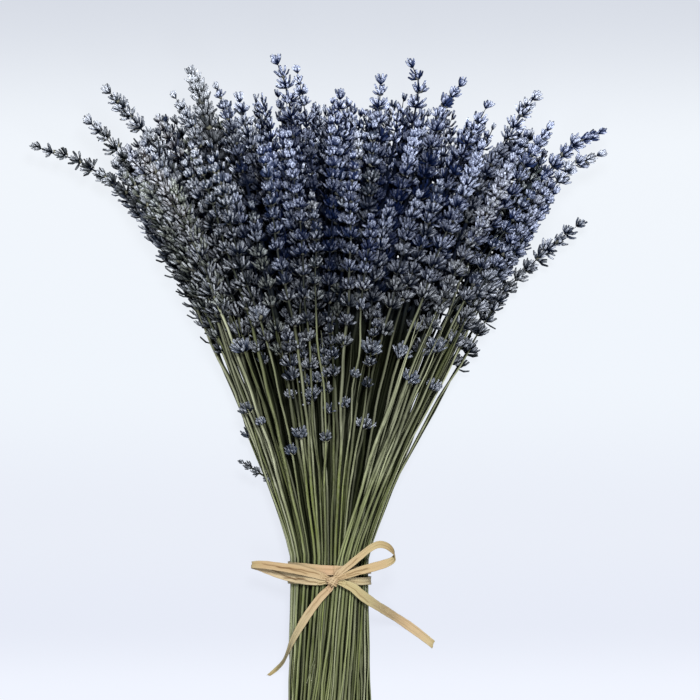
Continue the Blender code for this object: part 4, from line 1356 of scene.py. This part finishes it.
# Flower heads: whorls of calyces, each a thin bent cup that springs from the stem
flower = {
    "whorls": 11,
    "countSpread": 1,
    "lowCount": 0.7,  # whorls on the low sprigs, as a share
    "leastWhorls": 4,
    "tipDown": 0.0058,  # from the stem's end down to the foot of the tip whorl
    "firstGap": 0.0060,  # between the tip and the next whorl
    "lastGap": 0.0135,
    "gapPower": 1.3,
    "gapSpread": ((0.78, 1.26), (0.86, 1.10)),  # of each gap, and of all gaps of a sprig
    "pastHead": 0.004,
    "stretched": 1.06,  # bent stems longer than this share get more whorls
    "shortHead": 0.05,
    "shortSize": 0.55,
    "sway": 0.3,
    "swells": (3.2, 2, -1),  # how fast whorls grow from the tip, then again towards the foot
    "calyxLength": 0.0070,
    "lengths": (0.78, 1.14),
    "rimLonger": 0.06,
    "calyxHalf": 0.00078,
    "halves": (0.82, 1.12),
    "halfPower": 0.5,
    "oldThin": 0.12,
    "inmost": math.radians(6),  # the way a calyx leaves the stem, from the middle of a whorl to its rim
    "outmost": math.radians(74),
    "lowOutmost": math.radians(90),
    "ages": (3, 1.8),  # how soon a whorl is full, and how soon it stands open
    "openSpread": 0.11,
    "tipOpen": 0.6,
    "crowding": 0.5,  # the lower, the more calyces stand at the rim of a whorl
    "upright": (0.02, 0.26),  # a calyx's lean at its tip as a share of its lean at its foot
    "lowUpright": (0.06, 0.42),
    "odd": (0.94, 0.9),  # those above this chance keep so much of their lean
    "aloneBend": 0.3,
    "goldenTurn": math.radians(137.5),
    "turnSpread": 0.15,
    "fanning": 0.30,  # how far the calyces draw together into two opposite fans
    "countShare": (0.72, 1.3, 0.5),  # near the tip, how much it varies, and in the tip whorl
    "footAlong": (-0.0006, 0.0016),
    "sizes": (0.80, 1.16),
    # the sprigs that stand out of the outline, from the left to the right
    "crestSizes": (0.84, 1.00, 0.98, 0.95, 1.36, 0.84, 1.00, 1.04, 0.78, 1.02, 1.02, 0.92, 1.12, 0.92, 1.02,
                   1.08, 1.08, 1.04, 0.98),
    "lowHeadSizes": (0.76, 1.02, 0.72, 0.62, 0.78, 0.70),
    "denseTips": (3, 4, 5, 12, 15, 16, 17),
    "looseWhorls": 5,  # the others that stand out have so many whorls of few, spread calyces at their tips
    "looseGap": 1.30,
    "looseCount": 0.70,
    "looseOpen": 1.25,
    "looseBend": 0.3,
    "looseSize": 0.14,
    "tipSize": 0.70,
    "oldSize": 0.12,
    "lowAt": ((-0.015, -0.07), (0.245, -0.08)),  # x and y from where whorls count as low on the left
    "lowSize": 0.24,  # how much larger those are,
    "lowSparse": 0.36,  # and how much fewer and thinner their calyces
    "lowThin": 0.26,
    "loneWhorl": 0.35,  # share of heads with one more whorl set apart lower down
    "loneGap": (0.011, 0.022),
    "aloneAge": 0.8,
    "aloneMore": 2,
    "stemReach": (0.0022, 0.01),  # how near a stem a single whorl is set to it, and how far from its end
    "openMouth": 0.45,  # share of the calyces with an open mouth
    "jitter": 0.06,
    "shapeSeeds": 10,
    "axisSteps": 24,
    "mapRings": (0.92, 0.93),  # the last ring's place on the skin map, and that of a closed end at most
    "tonePower": 1.2,
    "roughness": 0.85,
    "specular": 0.0,
    "mottle": 300.0,
    "bump": (0.7, 0.0002),
    "bumpParts": (0.8, 0.4),  # of the ridges and of the speckle
    "ridge": (-0.3, 0.95),
    # each share of the hair: (mask, low, high, what it becomes there)
    "hair": (("along", 0.34, 0.92, (0.02, 1.0)), ("ridge", 0.0, 1.0, (0.12, 1.0), "LINEAR"),
             ("tone", 0.0, 2.0, (0.0, 4.0), "LINEAR"), ("Speckle", 0.0, 1.0, (0.15, 1.85))),
    "colours": {
        "violet": (0.015, 0.025, 0.074),
        "slate": (0.032, 0.046, 0.080),
        "ash": (0.056, 0.064, 0.070),
        "moss": (0.052, 0.062, 0.044),
        "umber": (0.058, 0.052, 0.048),
        "coolHair": (0.68, 0.76, 1.0),
        "warmHair": (0.81, 0.86, 0.96),
        "greenHair": (0.76, 0.82, 0.74),
        # mouth and the blue one below are the dark of the mouths, and also the colour that painted shade
        # darkens towards
        "mouth": (0.0007, 0.0018, 0.0040),
        "blueShadeAndMouth": (0.0006, 0.0026, 0.0145),
        "bract": (0.26, 0.26, 0.185),
    },
    "hairLayers": (("age", "greenHair", 1, 0.20, 0.05), ("blue", "coolHair", 1, 0.12, 0.75)),
    # painted shade: the foot darkens towards depth, and dark mixes in the shade from the calyx's look; the
    # last layer darkens the mouth
    "layers": (("age", "slate", 1, 0.35, 0.62), ("age", "umber", 1, 0.78, 0.92),
               ("age", "moss", 1, 0.16, 0.04), ("blue", "violet", 1), ("hair", "fuzz", 1),
               ("along", "depth", 1, 0.62, 0.14, (0.0, 0.96)), ("dark", "depth", 0.97),
               ("along", "depth", 1, 0.95, 0.99)),
    "seed": 47,
}
# How many calyces a whorl has, their sides, and (share of the length, share of the half width) of each ring
calyxForms = {
    "fine": {"count": 25, "sides": 4, "rings": ((0.14, 0.55), (0.58, 1.0), (0.94, 0.80))},
    "plain": {"count": 12, "sides": 3, "rings": ((0.14, 0.6), (0.58, 1.15), (0.94, 0.95))},
    "hidden": {"count": 6, "sides": 3, "rings": ((0.34, 1.2), (0.94, 1.1))},
}
# Two papery scales under each whorl, one below each fan of calyces
scale = {
    "sides": 4,
    "rings": ((0.34, 1.0), (0.72, 0.72)),
    "flatness": 0.16,
    "down": 0.0014,
    "open": (55, 84),
    "upright": (0.1, 0.5),
    "turnSpread": 0.15,
    "length": 0.0050,
    "half": 0.00150,
    "sizes": (0.8, 1.1),
    "shapeSeed": 5,
    "roughness": 0.85,
    "specular": 0.0,
    "mottle": 350.0,
    "bump": (0.4, 0.00015),
    # dark is the calyces' painted shade, towards the dark mouth colour
    "layers": (("tone", "ash", 1), ("blue", "slate", 0.6), ("Patches", "umber", 0.4), ("dark", "mouth", 0.8)),
}
# Single whorls on bare stems below the heads: (x and y as shares of the frame's box, size)
lowWhorls = (
    (0.515, 0.560, 1.10), (0.582, 0.568, 1.25), (0.632, 0.563, 1.20), (0.368, 0.568, 1.25),
    (0.402, 0.618, 1.20), (0.372, 0.478, 1.00), (0.374, 0.443, 0.95), (0.470, 0.440, 1.10),
    (0.452, 0.418, 0.85), (0.488, 0.503, 1.00), (0.580, 0.458, 1.12), (0.548, 0.490, 0.78),
    (0.404, 0.464, 0.66), (0.516, 0.440, 0.72), (0.700, 0.572, 1.15), (0.657, 0.524, 1.10),
    (0.700, 0.512, 0.90), (0.498, 0.528, 0.80), (0.452, 0.500, 0.70), (0.560, 0.532, 0.62),
)


# The uppermost stem over a place on the table, and how far along it that place lies
def stemAt(x, y, reach):
    lines = every["lines"]
    row = np.argmin(np.abs(lines[:, :, 1] - y), axis=1)
    here = lines[np.arange(count), row]
    at = firstStation + bunch["step"] * row
    there = (np.abs(here[:, 0] - x) < reach[0]) & (at > every["from"]) & (at < every["length"] - reach[1])
    height = np.where(there, here[:, 2], -1.0)
    i = int(np.argmax(height))
    return i, at[i], height[i] > 0


# One row for each whorl: its sprig, place along it, size, age (0 at the tip, 1 lowest), turn, and whether it
# is a tip, stands alone or is loose. Gaps are true distances along the bent stem
def whorlTable(cfg):
    rng = np.random.default_rng(cfg["seed"])
    rows = []
    sizes = rng.uniform(*cfg["sizes"], count)
    sizes[crestOnes], sizes[lowSprigs] = cfg["crestSizes"], cfg["lowHeadSizes"]
    slow, fast, late = cfg["swells"]
    for i in np.nonzero(every["head"] > 0)[0]:
        length, head = every["length"][i], every["head"][i]
        turn = rng.uniform(0, math.pi)
        run = runOf(every["lines"][i])
        end, foot = np.interp([length, length - head], stations(), run)
        stretch = (end - foot) / head
        number = cfg["whorls"] * head / bunch["headLength"] + rng.uniform(-1, 1) * cfg["countSpread"]
        number = int(round(number)) * (cfg["lowCount"] if i in lowSprigs else 1)
        number = max(cfg["leastWhorls"], int(number))
        long = head > cfg["shortHead"]
        extra = int(round(number * (stretch - 1))) if stretch > cfg["stretched"] and long else 0
        progress = np.linspace(0, 1, number) ** cfg["gapPower"]
        gaps = cfg["firstGap"] + (cfg["lastGap"] - cfg["firstGap"]) * progress
        gaps = gaps * rng.uniform(*cfg["gapSpread"][0], number)
        gaps = np.append(gaps, np.full(extra, cfg["lastGap"])) * rng.uniform(*cfg["gapSpread"][1])
        loose = cfg["looseWhorls"] if i in crestOnes and crestOnes.index(i) not in cfg["denseTips"] else 0
        gaps[:loose] *= cfg["looseGap"]
        down = cfg["tipDown"] + np.concatenate([[0], np.cumsum(gaps)[:-1]])
        down *= min(1.0, (end - foot + cfg["pastHead"]) / down[-1])
        if long and rng.uniform() < cfg["loneWhorl"]:
            down = np.append(down, down[-1] + rng.uniform(*cfg["loneGap"]))
        sway = np.resize(rng.uniform(-cfg["sway"], cfg["sway"], len(down) - extra), len(down))
        along = np.interp(end - down, run, stations())
        k = np.arange(len(down))
        age = k / (len(down) - 1)
        swell = cfg["tipSize"] + (1 - cfg["tipSize"]) * smooth(age * slow) + cfg["looseSize"] * (k < loose)
        swell = swell + cfg["oldSize"] * smooth(age * fast + late)
        size = sizes[i] * swell * (1 if long else cfg["shortSize"])
        rows.append(np.stack([np.full(len(k), i), along, size, age, turn + k * math.pi / 2 + sway, k == 0,
                              np.zeros(len(k)), k < loose], axis=1))
    for shareX, shareY, size in lowWhorls:
        i, at, found = stemAt(share(shareX, 0), share(shareY, 1), cfg["stemReach"])
        if found:
            rows.append([[i, at, size, cfg["aloneAge"], rng.uniform(0, math.pi), 0, 1, 0]])
    columns = np.concatenate(rows).T.copy()
    made = dict(zip(("sprig", "along", "size", "age", "turn", "tip", "alone", "loose"), columns))
    made |= {"sprig": made["sprig"].astype(int), "tip": made["tip"] > 0, "alone": made["alone"] > 0}
    place = sampleLine(made["sprig"], made["along"])[0]
    made["low"] = ramp(place[:, 0], cfg["lowAt"][0]) * ramp(place[:, 1], cfg["lowAt"][1]) * ~made["alone"]
    made["size"] = made["size"] * (1 + cfg["lowSize"] * made["low"])
    return made


# What calyces and scales take over from the whorls they belong to.
def fromWhorls(owner):
    sprig = whorls["sprig"][owner]
    return {"whorl": owner, "sprig": sprig, "below": every["length"][sprig] - whorls["along"][owner],
            "tip": whorls["tip"][owner], "alone": whorls["alone"][owner]}


# One row for each calyx. Number j of n leaves the stem at inmost + (outmost - inmost) * (j / n)^crowding,
# turned by the golden angle from the one before and drawn towards two opposite fans; it bends up on its way
def calyxTable(cfg):
    rng = np.random.default_rng(cfg["seed"] + 1)
    most = np.array([calyxForms[name]["count"] for name in formOf])[whorls["sprig"]]
    most = np.where(whorls["alone"], calyxForms["fine"]["count"] + cfg["aloneMore"], most)
    young, spread, inTip = cfg["countShare"]
    number = most * (young + (1 - young) * smooth(whorls["age"] * cfg["ages"][0]))
    number = number * (1 - cfg["lowSparse"] * whorls["low"]) * (1 - (1 - cfg["looseCount"]) * whorls["loose"])
    number = number + rng.uniform(-spread, spread, len(most))
    number = np.round(np.where(whorls["tip"], inTip * most, number)).astype(int)
    owner = np.repeat(np.arange(len(number)), number)
    order = np.arange(len(owner)) - np.repeat(np.cumsum(number) - number, number)
    n = len(owner)
    made = fromWhorls(owner)
    age, size, turn, low, loose = (whorls[key][owner] for key in ("age", "size", "turn", "low", "loose"))
    rim = (order + 0.5) / number[owner]
    turned = order * cfg["goldenTurn"]
    around = turn + turned - cfg["fanning"] * np.sin(2 * turned) + rng.normal(0, cfg["turnSpread"], n)
    older = smooth(age * cfg["ages"][1])
    outmost = cfg["outmost"] + (cfg["lowOutmost"] - cfg["outmost"]) * older
    foot = cfg["inmost"] + (outmost - cfg["inmost"]) * rim ** cfg["crowding"]
    foot = foot + rng.normal(0, cfg["openSpread"], n)
    foot = np.where(made["tip"], foot * cfg["tipOpen"], foot) * (1 + (cfg["looseOpen"] - 1) * loose)
    bend = rng.uniform(*cfg["upright"], n) * (1 - older) + rng.uniform(*cfg["lowUpright"], n) * older
    odd = rng.uniform(0, 1, n)
    bend = np.where(odd > cfg["odd"][0], cfg["odd"][1], bend + cfg["looseBend"] * odd * loose)
    bend = np.where(made["alone"], cfg["aloneBend"], bend)
    long = size * rng.uniform(*cfg["lengths"], n) * (1 + cfg["rimLonger"] * rim)
    thin = (1 - cfg["oldThin"] * older) * (1 - cfg["lowThin"] * low)
    return made | {
        "along": whorls["along"][owner] + cfg["footAlong"][0] + cfg["footAlong"][1] * (1 - rim),
        "around": around,
        "open": np.stack([foot, foot * bend], axis=1),
        "length": cfg["calyxLength"] * long,
        "half": cfg["calyxHalf"] * size ** cfg["halfPower"] * rng.uniform(*cfg["halves"], n) * thin,
        "tone": rng.uniform(0, 1, n) ** cfg["tonePower"],
        "mouth": rng.uniform(0, 1, n) < cfg["openMouth"],
    }


# The same for the scales: two for each whorl, half a turn apart.
def scaleTable(cfg):
    rng = np.random.default_rng(flower["seed"] + 3)
    owner = np.repeat(np.arange(len(whorls["along"])), 2)
    n = len(owner)
    foot = np.radians(rng.uniform(*cfg["open"], n))
    aside = rng.normal(0, cfg["turnSpread"], n)
    size = whorls["size"][owner]
    return fromWhorls(owner) | {
        "along": whorls["along"][owner] - cfg["down"],
        "around": whorls["turn"][owner] + math.pi * (np.arange(n) % 2) + aside,
        "open": np.stack([foot, foot * rng.uniform(*cfg["upright"], n)], axis=1),
        "length": cfg["length"] * size * rng.uniform(*cfg["sizes"], n),
        "half": cfg["half"] * size * rng.uniform(*cfg["sizes"], n),
        "tone": rng.uniform(0, 1, n),
        "mouth": np.zeros(n, bool),
    }


# The way out of the stem at an angle round it.
def outOf(around, across, up):
    return np.cos(around)[:, None] * across + np.sin(around)[:, None] * up


# Closed blades: rings round a bent axis, which leaves the stem at open[0] from it and ends at open[1]. The
# end is sunk into a mouth or drawn out to a blunt point
def bladePoints(table, pick, form, seed):
    rng = np.random.default_rng(seed)
    own = {key: table[key][pick] for key in ("sprig", "along", "around", "open", "length", "half", "mouth")}
    base, direction, across, up = sampleLine(own["sprig"], own["along"])
    radial = outOf(own["around"], across, up)
    sideways = np.cross(direction, radial)
    steps, n, sides = flower["axisSteps"], len(pick), form["sides"]
    places, widths = np.array(form["rings"]).T
    start, end = own["open"].T[..., None]
    angle = start + (end - start) * np.linspace(0, 1, steps + 1)
    slot = (np.array([0, *places, 1]) * steps).astype(int)
    runT, runR = (np.hstack([np.zeros((n, 1)), np.cumsum(way(angle[:, :-1]), axis=1)])[:, slot, None] / steps
                  for way in (np.cos, np.sin))
    length = own["length"][:, None, None]
    spine = base[:, None] + length * (runT * direction[:, None] + runR * radial[:, None])
    turned = angle[:, slot[1:-1], None]
    normal = np.cos(turned) * radial[:, None] - np.sin(turned) * direction[:, None]
    alpha = 2 * math.pi * np.arange(sides)[:, None] / sides
    uneven = 1 + rng.uniform(-flower["jitter"], flower["jitter"], (n, len(places), sides))
    size = (own["half"][:, None] * widths)[:, :, None] * uneven
    outward = form.get("flatness", 1.0) * np.cos(alpha) * normal[:, :, None]
    ring = spine[:, 1:-1, None] + size[..., None] * (outward + np.sin(alpha) * sideways[:, None, None])
    sunk = (spine[:, -3:-2] + spine[:, -2:-1]) / 2
    last = np.where(own["mouth"][:, None, None], sunk, spine[:, -1:])
    return aboveTable(np.concatenate([ring.reshape(n, -1, 3), spine[:, :1], last], axis=1))


# Many blades with the same faces as one skin. The map's first axis counts the sides, so that its whole
# numbers lie on the ridges; on the second a closed end lies before the place where the mouth begins
def bladeSkin(table, pick, form, slot, seed, mouths):
    points = bladePoints(table, pick, form, seed)
    corners, column, level, sizes = tubeFaces(len(form["rings"]), form["sides"])
    last, closed = flower["mapRings"]
    height = np.array([0, *(last * place for place, _ in form["rings"]), 1])[level]
    n, each = points.shape[:2]
    uv = np.tile(np.stack([column, height], axis=1), (n, 1, 1))
    if mouths:
        shut = ~table["mouth"][pick]
        uv[shut, :, 1] = np.minimum(uv[shut, :, 1], closed)
    corners = corners + np.arange(n)[:, None] * each
    return surface(points.reshape(-1, 3), corners, np.tile(sizes, n), uv.reshape(-1, 2),
                   np.repeat(calyxLooks(table, pick), each, axis=0), slot)


# look is (tone, blue, age, dark), where dark is mostly painted shade. Ridges and tips are pale with hair and
# grooves are dark; the foot is painted dark as shade, and the mouth is dark, partly its own colour and partly
# painted shade
def calyxMaterial(cfg):
    material, tree, shader = startMaterial("lavenderCalyx", cfg["roughness"], cfg["specular"])
    masks = lookParts(tree, ("tone", "blue", "age", "dark")) | useGroup(tree, mottle, Scale=cfg["mottle"])
    around, masks["along"], _ = skinMap(tree)
    ridge = mathNode(tree, "COSINE", times(tree, around, 2 * math.pi))
    masks["ridge"] = rangeNode(tree, ridge, *cfg["ridge"])
    hair = [rangeNode(tree, masks[mask], *span) for mask, *span in cfg["hair"]]
    for k, part in enumerate(hair[1:]):
        hair[0] = times(tree, hair[0], part, clamp=k == 2)
    masks["hair"] = hair[0]
    hue = cfg["colours"]
    # depth: the colour of the painted shade and of the mouths, bluer in the middle of the bunch
    hue = hue | {"fuzz": layered(tree, "warmHair", cfg["hairLayers"], masks, hue),
                 "depth": mixColour(tree, masks["blue"], hue["mouth"], hue["blueShadeAndMouth"])}
    base = layered(tree, "ash", cfg["layers"], masks, hue)
    ridges = times(tree, masks["ridge"], cfg["bumpParts"][0])
    speckles = times(tree, masks["Speckle"], cfg["bumpParts"][1])
    finishMaterial(tree, shader, base, mathNode(tree, "ADD", ridges, speckles), *cfg["bump"])
    return material


# The scales take the calyces' look, so they get the same painted shade
def scaleMaterial(cfg):
    material, tree, shader = startMaterial("bract", cfg["roughness"], cfg["specular"])
    masks = lookParts(tree, ("tone", "blue", "age", "dark")) | useGroup(tree, mottle, Scale=cfg["mottle"])
    base = layered(tree, "bract", cfg["layers"], masks, flower["colours"])
    finishMaterial(tree, shader, base, masks["Speckle"], *cfg["bump"])
    return material


finishes = [stemMaterial(stem), calyxMaterial(flower), scaleMaterial(scale)]
whorls = whorlTable(flower)
calyces = calyxTable(flower)
scales = scaleTable(scale)

# How the colours of the calyces vary from sprig to sprig and with their place in the bunch
cast = {
    "tones": (0.15, 1),
    "whorlSpread": (0.14, 0.12),  # of tone and blue
    "lowSprigs": {"blue": 0.7, "tone": 0.25, "age": 0.5},
    "crestAge": (0.22, 0.6),
    # which of the sprigs that stand out
    "own": {4: {"age": 0.28, "tone": 0.7, "blue": 0.2}, 18: {"blue": 0.1, "tone": 0.35}},
    # where each change starts and over what distance it goes on (the other way if that is negative), and how
    # strong it is
    # painted shade comes from lowDark, farOut, inside, insideDark and faceAside; painted light from nearTip
    # with tipHigh, and from top, which also adds blue
    "middle": (-0.085, 0.08, 1),
    "pastMiddle": (0.07, 0.08, 0.3),
    "high": (0.13, 0.08, 1),
    "top": (0.215, 0.04, 0.22),
    "lowBlue": (0.205, -0.05, 0.5),
    "left": (-0.02, -0.05, 1),
    "leftLow": (0.235, -0.05, 0.8),
    "right": (0.02, 0.06, 0.25),
    "nearTip": (0.055, -0.045, 1),
    "tipHigh": (0.245, 0.03, 0.38),
    "mossy": (0.215, -0.05, 0.6),
    "lowDark": (0.262, -0.06, 0.66),
    "farOut": (0.07, 0.05, 0.5),
    "inside": (0.012, 0.05, 1),
    "faceAside": (0.45, -1.1, 0.5),
    "blueBase": (0.08, 0.30, 0.70),  # everywhere, in the middle, and from the sprig's own cast there
    "blueOwn": 0.30,
    "blueLow": 0.25,
    "mostBlue": 0.95,
    "toneParts": (0.58, 0.75, -0.14),  # from the sprig, from the calyx, and for all
    "ageOwn": 0.15,
    "mossAge": 0.10,
    "insideDark": 0.9,
    "darkOwn": (0.34, 0.48),
    # single whorls: dark, and what is left of blue, tone and age
    "alone": (0.42, 0.4, 0.52, (0.4, 0.4)),
}


# Each sprig's and each whorl's own cast.
def headColours(cfg):
    rng = np.random.default_rng(flower["seed"] + 2)
    made = {"tone": rng.uniform(*cfg["tones"], count), "blue": rng.uniform(0, 1, count),
            "age": rng.uniform(0, 1, count)}
    for key, spread in zip(("whorlTone", "whorlBlue"), cfg["whorlSpread"]):
        made[key] = rng.normal(0, spread, len(whorls["along"]))
    for key, value in cfg["lowSprigs"].items():
        made[key][lowSprigs] = value
    made["age"][crestOnes] = cfg["crestAge"][0] + cfg["crestAge"][1] * made["age"][crestOnes]
    for order, values in cfg["own"].items():
        for key, value in values.items():
            made[key][crestOnes[order]] = value
    return made


casts = headColours(cast)


# (tone, blue, age, dark) of each calyx, from its own, its whorl's, its sprig's and its place in the bunch:
# bluest in the middle; painted shade darkens it low down, inside the bunch and where it faces sideways or
# down, and painted light makes it paler near the tips high up and at the top; it is also paler towards the
# lower left and the right
def calyxLooks(table, pick):
    cfg = cast
    keys = ("sprig", "whorl", "tone", "below", "alone")
    sprig, whorl, own, below, alone = (table[key][pick] for key in keys)
    place, _, across, up = sampleLine(sprig, table["along"][pick])
    upward = outOf(table["around"][pick], across, up)[:, 2]
    x, y = place[:, 0], place[:, 1]
    by = {key: cfg[key][2] * ramp(values, cfg[key]) for values, keys in (
        (x, ("middle", "pastMiddle", "left", "right")), (np.abs(x), ("farOut",)), (upward, ("faceAside",)),
        (y, ("high", "top", "lowBlue", "leftLow", "tipHigh", "mossy", "lowDark")),
        (below, ("nearTip", "inside"))) for key in keys}
    middle = by["middle"] * (1 - by["pastMiddle"])
    start, inMiddle, fromSprig = cfg["blueBase"]
    blue = start + middle * by["high"] * (inMiddle + fromSprig * casts["blue"][sprig] + by["top"])
    blue = blue + cfg["blueOwn"] * (casts["blue"][sprig] - 0.5) + casts["whorlBlue"][whorl]
    blue = blue + cfg["blueLow"] * (np.isin(sprig, lowSprigs) - whorls["low"][whorl])
    blue = np.clip(blue * (1 - by["lowBlue"]), 0, cfg["mostBlue"])
    sprigPart, ownPart, less = cfg["toneParts"]
    tone = sprigPart * casts["tone"][sprig] + ownPart * own + less + casts["whorlTone"][whorl]
    # painted light: paler near the tips high up and at the top in the middle; also paler towards the lower
    # left and the right
    paler = by["left"] * by["leftLow"] + by["right"] + by["nearTip"] * by["tipHigh"] + by["top"] * middle
    tone = np.clip(tone, 0, 1) * (1 + paler)
    age = np.clip(casts["age"][sprig] + (own - 0.5) * cfg["ageOwn"], 0, 1)
    age = age + (cfg["mossAge"] - age) * by["mossy"]
    # painted shade: darker inside the bunch, low down and where the calyx faces sideways or down
    inside = headShade[sprig] * by["inside"]
    low = by["lowDark"] * (1 - by["farOut"])
    dark = 1 - (1 - low) * (1 - cfg["insideDark"] * inside) * (1 - by["faceAside"])
    dark = np.clip(dark + cfg["darkOwn"][0] * (cfg["darkOwn"][1] - own) * (1 - inside), 0, 1)
    aloneDark, aloneBlue, aloneTone, (aloneAge, ageLeft) = cfg["alone"]
    dark = np.where(alone, aloneDark, dark)
    blue = np.where(alone, aloneBlue * blue, blue)
    tone = np.where(alone, aloneTone * tone, tone)
    age = np.where(alone, aloneAge + ageLeft * age, age)
    return np.stack([tone, blue, age, dark], axis=1)


# One piece for each group of the frame, with its own sprigs and those added next to them
def addSprigs():
    counted = {"stems": 0, "fine": 0, "plain": 0, "hidden": 0, "bracts": 0}
    calyxForm = np.where(calyces["alone"], "fine", formOf[calyces["sprig"]])
    scaled = ~scales["tip"] & ((shown[scales["sprig"]] > 1) | scales["alone"])
    for key in blocks:
        which = inBlock(every, key)
        made = [("stems", stemSkin(i, stem)) for i in which]
        here = np.isin(calyces["sprig"], which)
        for n, (name, form) in enumerate(calyxForms.items()):
            pick = np.nonzero(here & (calyxForm == name))[0]
            if len(pick):
                seed = n + flower["shapeSeeds"] * len(which)
                made.append((name, bladeSkin(calyces, pick, form, 1, seed, True)))
        pick = np.nonzero(scaled & np.isin(scales["sprig"], which))[0]
        if len(pick):
            made.append(("bracts", bladeSkin(scales, pick, scale, 2, scale["shapeSeed"], False)))
        for name, skin in made:
            counted[name] += int((skin["sizes"] - 2).sum())
        buildPiece(nodeOf[key].replace("lavender", "dried"), [skin for _, skin in made], finishes,
                   [nodeOf[key]])
    return counted


addTie()
print("wraps and knot made")
triangles = addSprigs()
print("sprigs made, triangles:", sum(triangles.values()), triangles)

# Floor and light

stage = {
    "floorSize": 6.0,
    "floorColour": (0.030, 0.032, 0.035),
    "roughness": 0.9,
    "specular": 0.0,
    "glow": 1.0,
    # painted light: the floor glows, so it is pale while the bunch's shadow barely shows on it; (y, red,
    # green, blue) of its glow from the cut ends upwards, darkest at the top
    "floorGlow": ((-0.075, 0.815, 0.845, 0.930), (-0.030, 0.735, 0.765, 0.855), (0.030, 0.755, 0.785, 0.860),
                 (0.120, 0.805, 0.845, 0.900), (0.250, 0.815, 0.850, 0.895), (0.360, 0.610, 0.640, 0.705)),
    "skyColour": (0.93, 0.96, 1.0),
    "skyStrength": 0.09,
    "aim": (0.0, 0.12, 0.04),
    # place, size and power of each light
    "lights": {"key": ((0.15, 0.74, 2.05), 0.45, 80.0), "fill": ((0.20, -0.55, 1.9), 0.7, 26.0)},
}


def addStage(cfg):
    half = cfg["floorSize"] / 2
    mesh = bpy.data.meshes.new("floor")
    corners = [(-half, -half, 0), (half, -half, 0), (half, half, 0), (-half, half, 0)]
    mesh.from_pydata(corners, [], [(0, 1, 2, 3)])
    floor = addObject("floor", mesh)
    material, tree, shader = startMaterial("glowingTable", cfg["roughness"], cfg["specular"])
    feed(tree, shader.inputs["Base Color"], cfg["floorColour"])
    # painted light: a glow that changes along y makes the nearly black floor pale
    y = partsOf(tree, objectPlace(tree))[1]
    glow = cfg["floorGlow"][0][1:]
    for (low, *_), (high, *colour) in zip(cfg["floorGlow"], cfg["floorGlow"][1:]):
        glow = mixColour(tree, rangeNode(tree, y, low, high), glow, tuple(colour))
    feed(tree, shader.inputs["Emission Color"], glow)
    feed(tree, shader.inputs["Emission Strength"], cfg["glow"])
    mesh.materials.append(material)
    world = bpy.data.worlds.new("sky")
    world.use_nodes = True
    sky = world.node_tree.nodes["Background"].inputs
    feed(world.node_tree, sky["Color"], cfg["skyColour"])
    feed(world.node_tree, sky["Strength"], cfg["skyStrength"])
    bpy.context.scene.world = world
    for name, (place, size, power) in cfg["lights"].items():
        light = bpy.data.lights.new(name, "AREA")
        light.size, light.energy = size, power
        lamp = addObject(name, light)
        lamp.location = place
        lamp.rotation_euler = (Vector(cfg["aim"]) - lamp.location).to_track_quat("-Z", "Y").to_euler()
    bpy.context.scene.view_settings.view_transform = "Standard"


addStage(stage)
print("stage lit")
